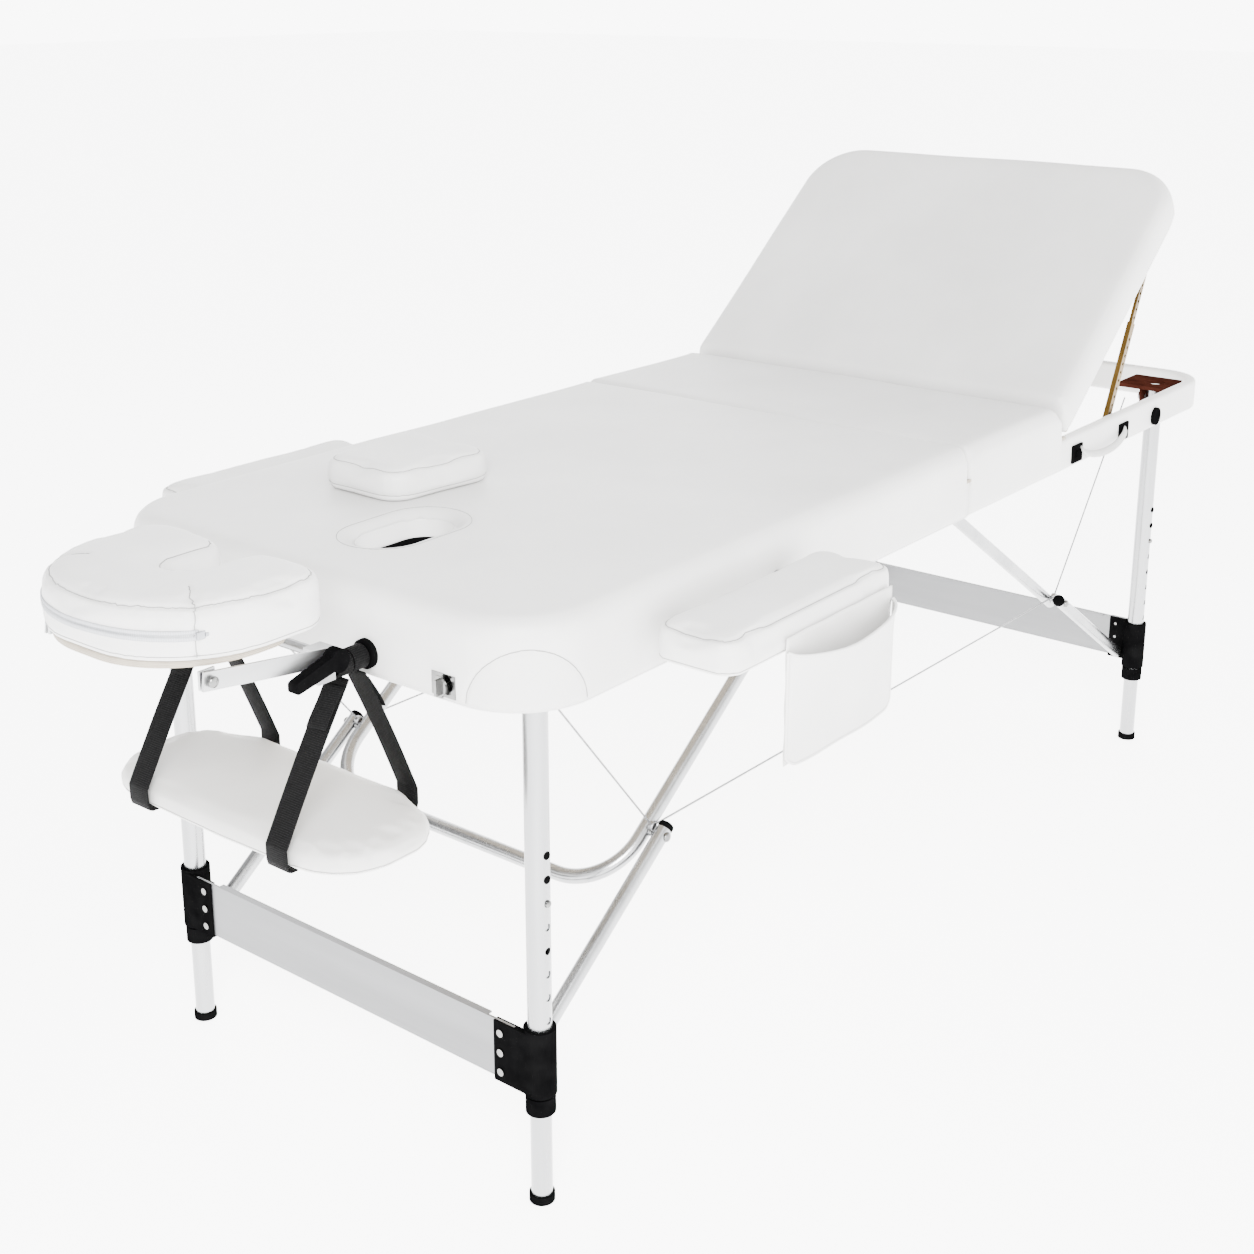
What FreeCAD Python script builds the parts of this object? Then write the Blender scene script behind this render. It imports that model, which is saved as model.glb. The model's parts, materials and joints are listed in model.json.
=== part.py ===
"""Portable folding massage table with a raised backrest, face cradle, arm shelf and side armrests.

Frame of the part: +X runs from the face cradle to the foot end, +Y across the table, +Z up.
The origin lies on the floor under the middle of the table. All sizes are in millimetres.
"""
import FreeCAD
import Part
import math
import os
import re

V = FreeCAD.Vector
X, Y, Z = V(1, 0, 0), V(0, 1, 0), V(0, 0, 1)
SIDES = (-1, 1)

doc = FreeCAD.newDocument("MassageTable")

# ---------------------------------------------------------------- driving dimensions
size = {
    "table_length": 1824, "table_width": 700, "headrest_reach": 286, "head_half_length": 930,
    "frame_bottom": 620, "rail_height": 50, "rail_width": 18, "deck_thick": 4, "pad_thick": 48,
    "corner_radius": 95, "foot_radius": 75, "fold_gap": 0.3,
    "leg_inset_head": 64, "leg_inset_foot": 120, "leg_side": 301, "leg_outer": 28, "leg_bore": 25.7,
    "extension_outer": 25, "extension_bore": 22, "pivot_height": 643, "leg_top": 657,
    "brace_side": 272, "strut_side": 247, "rod_outer": 19, "rod_bore": 16, "brace_foot": 158,
    "strut_span_head": 670, "strut_span_foot": 740, "bracket_outer": 38,
    "bracket_low": 142, "bracket_high": 225, "tube_low": 139, "collar_low": 118, "collar_outer": 35,
    "plate_low": 148, "plate_high": 222, "plate_thick": 3, "foot_cap": 26,
    "hole_pitch": 29, "button_height": 382, "button_radius": 4,
    "back_inset": 314, "back_hinge_height": 673, "back_angle": 38.5, "edge_lean": 26,
    "face_hole_length": 205, "face_hole_width": 98, "face_hole_centre": 158,
    "hinge_drop": 7, "hinge_offset": 8, "post_side": 117, "post_height": 646, "post_radius": 8,
    "armrest_start": 169, "armrest_length": 345, "armrest_width": 105, "armrest_gap": 26,
    "armrest_bottom": 647, "armrest_thick": 43, "peg_radius": 3.5, "peg_height": 663,
    "shelf_top": 474, "shelf_thick": 30, "shelf_half": 208, "strap_width": 22, "strap_thick": 2,
    "cushion_bottom": 708, "cushion_thick": 60, "cushion_width": 300,
}
size["frame_top"] = size["frame_bottom"] + size["rail_height"]
size["deck_top"] = size["frame_top"] + size["deck_thick"]
size["pad_top"] = size["deck_top"] + size["pad_thick"]
size["head_end"] = -(size["table_length"] + size["headrest_reach"]) / 2 + size["headrest_reach"]
size["foot_end"] = size["head_end"] + size["table_length"]
size["fold"] = size["head_end"] + size["head_half_length"]
size["head_leg"] = size["head_end"] + size["leg_inset_head"]
size["foot_leg"] = size["foot_end"] - size["leg_inset_foot"]
size["back_hinge"] = size["fold"] + size["back_inset"]
S = type("Sizes", (), size)

sheet = doc.addObject("Spreadsheet::Sheet", "dims")
for row, (alias, value) in enumerate(size.items(), start=1):
    sheet.set(f"A{row}", alias.replace("_", " "))
    sheet.set(f"B{row}", str(value))
    sheet.setAlias(f"B{row}", alias)
doc.recompute()


# ---------------------------------------------------------------- building helpers
def formula(text):
    """Turn a plain formula of sheet names into a spreadsheet expression."""
    return re.sub(r"[a-z_]{3,}", lambda m: "dims." + m.group(0) if m.group(0) in size else m.group(0), str(text))


def place(obj, at, rotation=None):
    obj.Placement = FreeCAD.Placement(V(0, 0, 0), rotation or FreeCAD.Rotation())
    for axis, text in zip("xyz", at):
        obj.setExpression("Placement.Base." + axis, formula(text))


def primitive(kind, sizes, at, rotation=None):
    obj = doc.addObject("Part::" + kind, kind)
    for name, text in sizes.items():
        obj.setExpression(name, formula(text))
    place(obj, at, rotation)
    return obj


def box(low, length, width, height):
    return primitive("Box", {"Length": length, "Width": width, "Height": height}, low)


def rod(at, axis, radius, height):
    return primitive("Cylinder", {"Radius": radius, "Height": height}, at, FreeCAD.Rotation(Z, axis))


def boolean(kind, base, *others):
    """A boolean of objects; kind is Cut, Fuse or Common."""
    if kind == "Cut":
        tool = others[0] if len(others) == 1 else boolean("Fuse", *others)
        obj = doc.addObject("Part::Cut", "Cut")
        obj.Base, obj.Tool = base, tool
    else:
        obj = doc.addObject("Part::MultiFuse" if kind == "Fuse" else "Part::MultiCommon", kind)
        obj.Shapes = [base, *others]
    return obj


def pipe(start, end, outer, bore):
    """A straight round tube from one point to another."""
    run = end - start
    turn = FreeCAD.Rotation(Z, run)
    outside = primitive("Cylinder", {"Radius": f"{outer}/2", "Height": run.Length}, start, turn)
    inside = primitive("Cylinder", {"Radius": f"{bore}/2", "Height": run.Length + 2},
                       start - run.normalize(), turn)
    return boolean("Cut", outside, inside)


def extrude(profile, direction, centre=False):
    """A solid from a closed outline (a list of edges) swept along a vector."""
    face = doc.addObject("Part::Feature", "Outline")
    face.Shape = Part.Face(Part.Wire(profile))
    solid = doc.addObject("Part::Extrusion", "Extrusion")
    solid.Base, solid.Dir, solid.DirMode, solid.Solid = face, direction, "Custom", True
    solid.LengthFwd = direction.Length
    solid.Symmetric = centre
    return solid


def rounded_outline(points):
    """Edges of a closed outline whose corners are rounded: points are (x, y, radius) at one height."""
    count = len(points)
    ends, edges = [], []
    for i, (x, y, radius) in enumerate(points):
        here = V(x, y, 0)
        back = V(*points[i - 1][:2], 0) - here
        ahead = V(*points[(i + 1) % count][:2], 0) - here
        half = back.getAngle(ahead) / 2
        reach = radius / math.tan(half)
        bisector = (back.normalize() + ahead.normalize()).normalize()
        middle = here + bisector * (radius / math.sin(half) - radius)
        ends.append((here + back * reach, middle, here + ahead * reach, radius))
    for i, (enter, middle, leave, radius) in enumerate(ends):
        if radius:
            edges.append(Part.Arc(enter, middle, leave).toShape())
        follow = ends[(i + 1) % count][0]
        if leave.distanceToPoint(follow) > 1e-6:
            edges.append(Part.LineSegment(leave, follow).toShape())
    return edges


def slab(points, bottom, height):
    """A flat board with rounded corners, standing on a height."""
    solid = extrude(rounded_outline(points), V(0, 0, height))
    solid.Placement.Base = V(0, 0, bottom)
    return solid


def side_profile(points, y_low, width):
    """A board whose outline is drawn in the X-Z plane, running along +Y: points are (x, z, radius)."""
    solid = extrude(rounded_outline(points), V(0, 0, width))
    solid.Placement = FreeCAD.Placement(V(0, y_low + width, 0), FreeCAD.Rotation(X, 90))
    return solid


nodes = []


def node(name, *pieces, body_placement=None):
    """Name one sub-part. Several pieces of the same kind stay separate solids of one node."""
    if len(pieces) == 1 and body_placement is None:
        obj = pieces[0]
    else:
        obj = doc.addObject("Part::Compound", "Group")
        obj.Links = list(pieces)
    obj.Label = name
    if body_placement is not None:
        obj.Placement = body_placement
    nodes.append(obj)
    return obj


def both_sides(make):
    return [make(side) for side in SIDES]


# ---------------------------------------------------------------- the two frames and their decks
inner = S.table_width / 2 - S.rail_width


def frame_ring(x_end, x_fold, radius, direction):
    """Rails of one half: two sides, an outer end rail with round corners, and a rail at the fold."""
    half = S.table_width / 2
    pieces = []
    for side in SIDES:
        low = "-table_width/2" if side < 0 else "table_width/2 - rail_width"
        start = min(x_fold, x_end + direction * radius)
        rail = box((start, low, "frame_bottom"), abs(x_fold - x_end) - radius, "rail_width", "rail_height")
        pieces.append(rail)
        centre = (x_end + direction * radius, side * (half - radius), S.frame_bottom)
        turn = {(1, -1): 180, (1, 1): 90, (-1, -1): 270, (-1, 1): 0}[(direction, side)]
        spin = FreeCAD.Rotation(Z, turn)
        ring = []
        for reach in (radius, radius - S.rail_width):
            quarter = primitive("Cylinder", {"Radius": reach, "Height": "rail_height"}, centre, spin)
            quarter.Angle = 90
            ring.append(quarter)
        pieces.append(boolean("Cut", *ring))
    low = x_end if direction > 0 else x_end - S.rail_width
    pieces.append(box((low, radius - half, "frame_bottom"), "rail_width", 2 * (half - radius), "rail_height"))
    low = x_fold - 30 if direction > 0 else x_fold
    pieces.append(box((low, -inner, "frame_bottom"), 30, 2 * inner, "rail_height"))
    return pieces


fold_head = S.fold - S.fold_gap / 2
fold_foot = S.fold + S.fold_gap / 2
head_rails = frame_ring(S.head_end, fold_head, S.corner_radius, 1)
foot_rails = frame_ring(S.foot_end, fold_foot, S.foot_radius, -1)

# holes through the head rails: two for the face cradle posts, two a side for the armrest pegs
armrest_x = S.head_end + S.armrest_start
peg_xs = (armrest_x + 70, armrest_x + 275)
socket_wall = 2
peg_holes = []
for index, side in ((0, -1), (2, 1)):
    holes = [rod((x, side * 355 if side < 0 else 325, "peg_height"), Y, f"peg_radius + {socket_wall}", 30)
             for x in peg_xs]
    head_rails[index] = boolean("Cut", head_rails[index], *holes)
post_holes = [rod(("head_end - 5", side * S.post_side, "post_height"), X, f"post_radius + {socket_wall}", 30)
              for side in SIDES]
head_rails[4] = boolean("Cut", head_rails[4], *post_holes)
node("head_frame", *head_rails)

cross_bar = box(("back_hinge - 40", -inner, "frame_top - 5.8"), 36, 2 * inner, 4.5)
node("foot_frame", *foot_rails, cross_bar)

half_width = S.table_width / 2
hole_x = S.head_end + S.face_hole_centre


def face_hole(margin, bottom, height):
    reach = S.face_hole_length / 2 + margin
    across = S.face_hole_width / 2 + margin
    points = [(hole_x - reach, -across, across - 1), (hole_x + reach, -across, across - 1),
              (hole_x + reach, across, across - 1), (hole_x - reach, across, across - 1)]
    return slab(points, bottom, height)


def half_board(margin, bottom, height):
    x_low, x_high, y = S.head_end + margin, fold_head - margin, half_width - margin
    radius = S.corner_radius - margin
    return slab([(x_low, -y, radius), (x_high, -y, 1), (x_high, y, 1), (x_low, y, radius)], bottom, height)


node("head_deck", boolean("Cut", half_board(0, S.frame_top, S.deck_thick), face_hole(8, S.frame_top - 5, 20)))
node("head_pad", boolean("Cut", half_board(0, S.deck_top, S.pad_thick), face_hole(0, S.deck_top - 5, 80)))

lean = math.tan(math.radians(S.edge_lean))
rise = S.pad_top - S.back_hinge_height
hinge_x, hinge_z = S.back_hinge, S.back_hinge_height
node("foot_deck", box((fold_foot, -half_width, "frame_top"), hinge_x - 4 - fold_foot, "table_width", "deck_thick"))
node("foot_pad", side_profile(
    [(fold_foot, S.deck_top, 1), (hinge_x - 4, S.deck_top, 1),
     (hinge_x - 4 - rise * lean, S.pad_top, 14), (fold_foot, S.pad_top, 1)], -half_width, S.table_width))

# ---------------------------------------------------------------- backrest, built flat and then raised
raise_back = FreeCAD.Placement(V(0, 0, 0), FreeCAD.Rotation(Y, -S.back_angle), V(hinge_x, 0, hinge_z))
back_points = [(hinge_x + 4, -half_width, 1), (S.foot_end, -half_width, S.corner_radius),
               (S.foot_end, half_width, S.corner_radius), (hinge_x + 4, half_width, 1)]
back_deck = slab(back_points, S.frame_top + 0.3, S.deck_thick - 0.3)
back_block = slab(back_points, S.deck_top, S.pad_thick)
back_front = side_profile(
    [(hinge_x - 60, S.deck_top - 10, 0), (hinge_x + 4 - 10 * lean, S.deck_top - 10, 0),
     (hinge_x + 4 + (rise + 12) * lean, S.pad_top + 12, 0), (hinge_x - 60, S.pad_top + 12, 0)],
    -half_width - 5, S.table_width + 10)
node("backrest_deck", back_deck, body_placement=raise_back)
node("backrest_pad", boolean("Cut", back_block, back_front), body_placement=raise_back)

# piano hinge of the backrest: barrels in turn on the frame leaf and on the deck leaf
barrel_radius, barrel_length, barrel_count = 3, 72, 8
barrel_start = -barrel_count * barrel_length / 2


def barrels(first):
    found = []
    for i in range(first, barrel_count, 2):
        y = barrel_start + i * barrel_length + 0.4
        outside = rod((hinge_x, y, hinge_z), Y, barrel_radius, barrel_length - 0.8)
        inside = rod((hinge_x, y - 1, hinge_z), Y, 1.6, barrel_length + 2)
        foot = box((hinge_x - 1.2, y, hinge_z - 4.2), 2.4, barrel_length - 0.8, 2)
        found.append((outside, inside, foot))
    return found


def hinge_leaf(first, x_low, x_high):
    plate = box((x_low, barrel_start, hinge_z - 4.2), x_high - x_low, barrel_count * barrel_length, 1.2)
    parts = barrels(first)
    solid = boolean("Fuse", plate, *[piece for outside, _, foot in parts for piece in (outside, foot)])
    slots = []
    for i in range(1 - first, barrel_count, 2):
        y = barrel_start + i * barrel_length - 0.01
        slots.append(box((hinge_x - 4.5, y, hinge_z - 6), 9, barrel_length + 0.02, 9))
    return boolean("Cut", solid, *[inside for _, inside, _ in parts], *slots)


back_pin = rod((hinge_x, barrel_start + 1, hinge_z), Y, 1.5, barrel_count * barrel_length - 2)
deck_leaf = hinge_leaf(1, hinge_x - 1, hinge_x + 24)

# lugs under the backrest for the two props
prop_y = inner - 4.6
prop_foot = V(S.fold + 504, 0, 645)
prop_reach = 401
prop_drop = 13
prop_hole = 2.6
prop_lugs = []
for side in SIDES:
    x, y = hinge_x + prop_reach, side * prop_y
    plates = [box((x - 12, y + offset - 1, hinge_z - prop_drop - 7), 24, 2, prop_drop + 3.7)
              for offset in (-6, 6) if (y + offset) * side < inner - 1]
    base = box((x - 13, min(side * (prop_y - 24), side * (prop_y - 5)), "frame_top - 1.7"), 26, 19, 2)
    pin = rod((x, y - side * 8, hinge_z - prop_drop), Y * side, 2.2, 5)
    prop_lugs.append(boolean("Fuse", *plates, base, pin))
node("backrest_brackets", deck_leaf, *prop_lugs, body_placement=raise_back)


# ---------------------------------------------------------------- props: a channel and a bar that slides in it
def turned(point, angle):
    """A point of the flat backrest after the backrest is raised."""
    flat = point - V(hinge_x, 0, hinge_z)
    return V(hinge_x, 0, hinge_z) + FreeCAD.Rotation(Y, -angle).multVec(flat)


prop_head = turned(V(hinge_x + prop_reach, 0, hinge_z - prop_drop), S.back_angle)
prop_run = prop_head - prop_foot
prop_slope = math.degrees(math.atan2(prop_run.z, prop_run.x))
channel_length, bar_length = 188, 178
prop_placements = [FreeCAD.Placement(V(prop_foot.x, side * prop_y, prop_foot.z),
                                     FreeCAD.Rotation(Y, -prop_slope)) for side in SIDES]


def perforated(start, length, width, thick, hollow):
    """A bar along +X with its pivot at the origin and a row of round holes."""
    outside = box((start, -thick / 2, -width / 2), length, thick, width)
    cuts = []
    if hollow:
        cuts.append(box((start + 16, -thick / 2 + 1.1, -width / 2 + 1.2), length, thick - 2.2, width - 2.4))
    count = int((length - 24) // 14)
    for i in range(count):
        cuts.append(rod((start + 20 + i * 14, -thick, 0), Y, 2.6, 2 * thick))
    return outside, cuts


channels, bars = [], []
for side, placement in zip(SIDES, prop_placements):
    outside, cuts = perforated(-8, channel_length, 14, 8, True)
    cuts.append(rod((0, -9, 0), Y, prop_hole, 18))
    channel = boolean("Cut", outside, *cuts)
    channel.Placement = placement
    channels.append(channel)
    outside, cuts = perforated(prop_run.Length + 7 - bar_length, bar_length, 11, 5.2, False)
    cuts.append(rod((prop_run.Length, -9, 0), Y, prop_hole, 18))
    bar = boolean("Cut", outside, *cuts[:-1], cuts[-1])
    bar.Placement = placement
    bars.append(bar)
node("prop_channels", *channels)
node("prop_bars", *bars)
prop_pins = [rod((prop_foot.x, side * inner, prop_foot.z), Y * -side, 2.2, 11) for side in SIDES]

# ---------------------------------------------------------------- hinges at the fold
leaf_width = 60
link_pins_x = (S.fold - S.hinge_offset, S.fold + S.hinge_offset)
fold_z = S.frame_bottom - S.hinge_drop
hinge_ys = (-255, 0, 255)


def fold_leaf(pin_x, x_low, x_high):
    leaves = []
    for y in hinge_ys:
        plate = box((x_low, y - leaf_width / 2, "frame_bottom - 2.3"), x_high - x_low, leaf_width, 2.3)
        post = box((pin_x - 3, y - 10, fold_z), 6, 20, "hinge_drop - 2")
        knuckle = rod((pin_x, y - 10, fold_z), Y, 4, 20)
        leaves.append(boolean("Fuse", plate, knuckle, post))
    return leaves


def bored(pieces, pin_x, radius):
    return [boolean("Cut", piece, rod((pin_x, y - 40, fold_z), Y, radius, 80))
            for piece, y in zip(pieces, hinge_ys)]


head_leaves = bored(fold_leaf(link_pins_x[0], fold_head - 30, link_pins_x[0] + 3), link_pins_x[0], 2.1)
foot_leaves = bored(fold_leaf(link_pins_x[1], link_pins_x[1] - 3, fold_foot + 30), link_pins_x[1], 2.1)
node("head_hinge_leaves", *head_leaves)
node("foot_hinge_leaves", *foot_leaves, hinge_leaf(0, hinge_x - 24, hinge_x + 1), back_pin)

links = []
for y in hinge_ys:
    plates = []
    for offset in (-13.5, 10.5):
        plate = box((link_pins_x[0], y + offset, fold_z - 4), 2 * S.hinge_offset, 3, 8)
        ends = [rod((pin_x, y + offset, fold_z), Y, 4, 3) for pin_x in link_pins_x]
        plates += [plate, *ends]
    pins = [rod((pin_x, y - 13, fold_z), Y, 2, 26) for pin_x in link_pins_x]
    links.append(boolean("Fuse", *plates, *pins))
node("fold_links", *links)


# ---------------------------------------------------------------- legs and their corner brackets
def outside_corner(x_end, direction, radius, side):
    """All that lies outside the inner round of a frame corner."""
    centre_x, y = x_end + direction * radius, side * half_width
    block = box((min(x_end, centre_x), min(y, y - side * radius), "frame_bottom - 5"), radius, radius, 60)
    well = rod((centre_x, y - side * radius, "frame_bottom - 10"), Z, radius - S.rail_width, 80)
    return boolean("Cut", block, well)


def corner_bracket(leg_x, x_end, direction, radius, side):
    """A moulded block in the frame's corner: two cheeks, a top web with a well over the leg."""
    x_low = leg_x - 42
    cap = box((x_low, min(side * inner, side * (S.leg_side - 52)), "frame_top - 6.5"), 84,
              inner - S.leg_side + 52, 6.5)
    cheeks = []
    for offset in (-19, 15.5):
        y = side * S.leg_side + offset
        cheeks.append(box((leg_x - 20, y, "pivot_height - 14"), 40, 3.5, "frame_top - 6 - pivot_height + 14"))
    wall_y = -inner if side < 0 else inner - 4
    wall = box((x_low, wall_y, "pivot_height - 14"), 84, 4, "frame_top - 6 - pivot_height + 14")
    well = rod((leg_x, side * S.leg_side, "frame_top - 12"), Z, 17, 20)
    bolt = rod((leg_x, side * S.leg_side - 35, "pivot_height"), Y, 4.1, 70)
    return boolean("Cut", boolean("Fuse", cap, wall, *cheeks), well, bolt,
                   outside_corner(x_end, direction, radius, side))


def leg_bolt(leg_x, side):
    shank = rod((leg_x, side * (S.leg_side - 23), "pivot_height"), Y * side, 4, 46)
    head = rod((leg_x, side * (S.leg_side - 27), "pivot_height"), Y * side, 7, 4.2)
    return boolean("Fuse", shank, head)


def strut_hinge(pivot_x, side, fold_rail):
    """A steel arm from the rail that carries the strut's pivot between two cheeks."""
    y_in = S.strut_side - 14
    arm = box((pivot_x - 14, min(side * inner, side * y_in), "frame_top - 8"), 28, inner - y_in, 3)
    cheeks = []
    for offset in (-13, 10.5):
        y = side * S.strut_side + offset
        cheeks.append(box((pivot_x - 9, y, "pivot_height - 9"), 18, 2.5, "frame_top - 6 - pivot_height + 9"))
    tab = box((pivot_x - 14, -inner if side < 0 else inner - 3, "frame_top - 24"), 28, 3, 17)
    hole = rod((pivot_x, side * S.strut_side - 20, "pivot_height"), Y, 3.1, 40)
    return boolean("Cut", boolean("Fuse", arm, tab, *cheeks), hole, fold_rail)


def strut_bolt(pivot_x, side):
    return rod((pivot_x, side * S.strut_side - 15, "pivot_height"), Y, 3, 30)


def knee(leg_x, span, direction):
    """Where the brace and the strut meet: the two lie in one line when the leg stands."""
    drop = S.pivot_height - S.brace_foot
    line = math.hypot(span, drop)
    brace = (line - span + drop) / 2
    return V(leg_x + direction * span * brace / line, 0, S.brace_foot + drop * brace / line), brace


def leg_tube(leg_x, side):
    tube = pipe(V(leg_x, side * S.leg_side, S.tube_low), V(leg_x, side * S.leg_side, S.leg_top),
                "leg_outer", "leg_bore")
    cuts = [rod((leg_x, side * S.leg_side - 20, "pivot_height"), Y, 4.4, 40)]
    for step in range(-5, 3):
        height = S.button_height + step * S.hole_pitch
        cuts.append(rod((leg_x, side * (S.leg_side + 8), height), Y * side, "button_radius + 0.4", 10))
    return boolean("Cut", tube, *cuts)


def leg_bracket(leg_x, direction, side):
    """A moulded clamp round the leg with a flange that holds the cross plate."""
    sleeve = rod((leg_x, side * S.leg_side, "bracket_low"), Z, "bracket_outer/2", "bracket_high - bracket_low")
    flange_y = side * (S.leg_side - 53)
    outer_x = leg_x - direction * 19
    flange = box((min(outer_x, outer_x + direction * 8), min(flange_y, side * S.leg_side), "bracket_low + 3"),
                 8, 53, "bracket_high - bracket_low - 6")
    pin = rod((leg_x, side * (S.brace_side - 7), "brace_foot"), Y * side, 3, 20)
    pin_head = rod((leg_x, side * (S.brace_side - 9), "brace_foot"), Y * side, 5.5, 3)
    bore = rod((leg_x, side * S.leg_side, "bracket_low - 5"), Z, "leg_outer/2", 100)
    slot_x = leg_x - direction * 15
    slot = box((slot_x - S.plate_thick / 2, min(flange_y, flange_y + side * 30), "plate_low"),
               "plate_thick", 30, "plate_high - plate_low")
    holes = [rod((leg_x - direction * 8, side * (S.leg_side - 42), height), X * -direction, 2.5, 20)
             for height in screw_heights]
    return boolean("Cut", boolean("Fuse", sleeve, flange, pin, pin_head), bore, slot, *holes)


screw_heights = (159, 184, 209)


def leg_screws(leg_x, direction):
    found = []
    for side in SIDES:
        for height in screw_heights:
            at = (leg_x - direction * 11, side * (S.leg_side - 42), height)
            shank = rod(at, X * -direction, 2.4, 8)
            head_at = (leg_x - direction * 19, side * (S.leg_side - 42), height)
            found.append(boolean("Fuse", shank, rod(head_at, X * -direction, 4.6, 2.2)))
    return found


def cross_plate(leg_x, direction):
    """A thin sheet between the legs with a lip folded along its top edge."""
    reach = S.leg_side - 24
    x = leg_x - direction * 15
    sheet_solid = box((x - S.plate_thick / 2, -reach, "plate_low"), "plate_thick", 2 * reach,
                      "plate_high - plate_low")
    holes = [rod((x - 5, side * (S.leg_side - 42), height), X, 2.5, 10)
             for side in SIDES for height in screw_heights]
    lip_low = x if direction > 0 else x - 8
    lip = box((lip_low, -S.strut_side + 12, "plate_high - 2"), 8, 2 * (S.strut_side - 12), 2)
    return boolean("Cut", boolean("Fuse", sheet_solid, lip), *holes)


def collar(leg_x, side):
    outside = rod((leg_x, side * S.leg_side, "collar_low"), Z, "collar_outer/2", "tube_low - collar_low")
    return boolean("Cut", outside, rod((leg_x, side * S.leg_side, "collar_low - 5"), Z,
                                       "extension_outer/2 + 0.35", 40))


knees = {}
for end, leg_x, span, x_end, direction, radius, rails in (
        ("head", S.head_leg, S.strut_span_head, S.head_end, 1, S.corner_radius, head_rails),
        ("foot", S.foot_leg, S.strut_span_foot, S.foot_end, -1, S.foot_radius, foot_rails)):
    knees[end] = knee(leg_x, span, direction)
    pivot_x = leg_x + direction * span
    node(end + "_corner_brackets",
         *both_sides(lambda side: corner_bracket(leg_x, x_end, direction, radius, side)),
         *both_sides(lambda side: strut_hinge(pivot_x, side, rails[5])))
    bolts = both_sides(lambda side: leg_bolt(leg_x, side)) + both_sides(lambda side: strut_bolt(pivot_x, side))
    if end == "foot":
        bolts += prop_pins
    node(end + "_pivot_bolts", *bolts)
    node(end + "_leg_tubes", *both_sides(lambda side: leg_tube(leg_x, side)))
    node(end + "_leg_brackets", *both_sides(lambda side: leg_bracket(leg_x, direction, side)),
         *both_sides(lambda side: collar(leg_x, side)))
    node(end + "_leg_plate", cross_plate(leg_x, direction))
    node(end + "_leg_screws", *leg_screws(leg_x, direction))
    for side, name in ((-1, "near"), (1, "far")):
        y = side * S.leg_side
        tube = pipe(V(leg_x, y, 6), V(leg_x, y, S.button_height + 24), "extension_outer", "extension_bore")
        ports = [rod((leg_x, y, f"button_height - {step} * hole_pitch"), Y * side, "button_radius + 0.3", 20)
                 for step in (0, 2)]
        node(f"leg_extension_{end}_{name}", boolean("Cut", tube, *ports))
        cup = rod((leg_x, y, 0), Z, "extension_outer/2 + 2.5", "foot_cap - 16")
        plug = rod((leg_x, y, 0), Z, "extension_bore/2", "foot_cap")
        ring = rod((leg_x, y, 6), Z, "extension_outer/2", 20)
        core = rod((leg_x, y, 5), Z, "extension_bore/2", 22)
        node(f"foot_cap_{end}_{name}", boolean("Fuse", boolean("Cut", cup, ring), plug))
        stem = rod((leg_x, y + side * 12.7, "button_height"), Y * side, "button_radius", 3.5)
        dome = primitive("Sphere", {"Radius": 5}, (leg_x, y + side * 13.2, "button_height"))
        limit = rod((leg_x, y + side * 12.7, "button_height"), Y * side, "button_radius", 20)
        node(f"snap_button_{end}_{name}", boolean("Fuse", stem, boolean("Common", dome, limit)))


# ---------------------------------------------------------------- struts and braces
def brace(leg_x, end, side):
    """The brace from the leg bracket to the knee, with its pin to the bracket and a lug at the knee."""
    point, _ = knees[end]
    y = side * S.brace_side
    low = V(leg_x, y, S.brace_foot)
    high = V(point.x, y, point.z)
    run = (high - low).normalize()
    body = primitive("Cylinder", {"Radius": "rod_outer/2", "Height": (high - low).Length + 4},
                     low + run * 10, FreeCAD.Rotation(Z, run))
    hollow = primitive("Cylinder", {"Radius": "rod_bore/2", "Height": (high - low).Length},
                       low + run * 24, FreeCAD.Rotation(Z, run))
    eye = rod((leg_x, y - 4, "brace_foot"), Y, 8, 8)
    tongue = primitive("Cylinder", {"Radius": 3.5, "Height": 14}, low, FreeCAD.Rotation(Z, run))
    return boolean("Cut", boolean("Fuse", body, eye, tongue), hollow,
                   rod((leg_x, y - 20, "brace_foot"), Y, 3.3, 40))


def bent_tube(points, bends, name):
    """A tube that follows straight runs joined by tangent arcs."""
    edges, start = [], points[0]
    for i in range(1, len(points) - 1):
        back = (points[i - 1] - points[i]).normalize()
        ahead = (points[i + 1] - points[i]).normalize()
        half = back.getAngle(ahead) / 2
        reach = bends[i - 1] / math.tan(half)
        enter, leave = points[i] + back * reach, points[i] + ahead * reach
        bisector = (back + ahead).normalize()
        middle = points[i] + bisector * (bends[i - 1] / math.sin(half) - bends[i - 1])
        edges += [Part.LineSegment(start, enter).toShape(), Part.Arc(enter, middle, leave).toShape()]
        start = leave
    edges.append(Part.LineSegment(start, points[-1]).toShape())
    path = Part.Wire(edges)
    direction = (points[1] - points[0]).normalize()
    solids = []
    for radius in (S.rod_outer / 2, S.rod_bore / 2):
        ring = Part.Wire(Part.Circle(points[0], direction, radius).toShape())
        solids.append(path.makePipeShell([ring], True, False))
    obj = doc.addObject("Part::Feature", name)
    obj.Shape = solids[0].cut(solids[1])
    return obj


def knee_lug(end, side):
    """A saddle on the strut at the knee: its ear reaches out to the brace, the other holds the stay cable."""
    point, _ = knees[end]
    y = side * S.strut_side
    ear = rod((point.x, y + side * 9, point.z), Y * side, 6, 5)
    return ear


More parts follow.
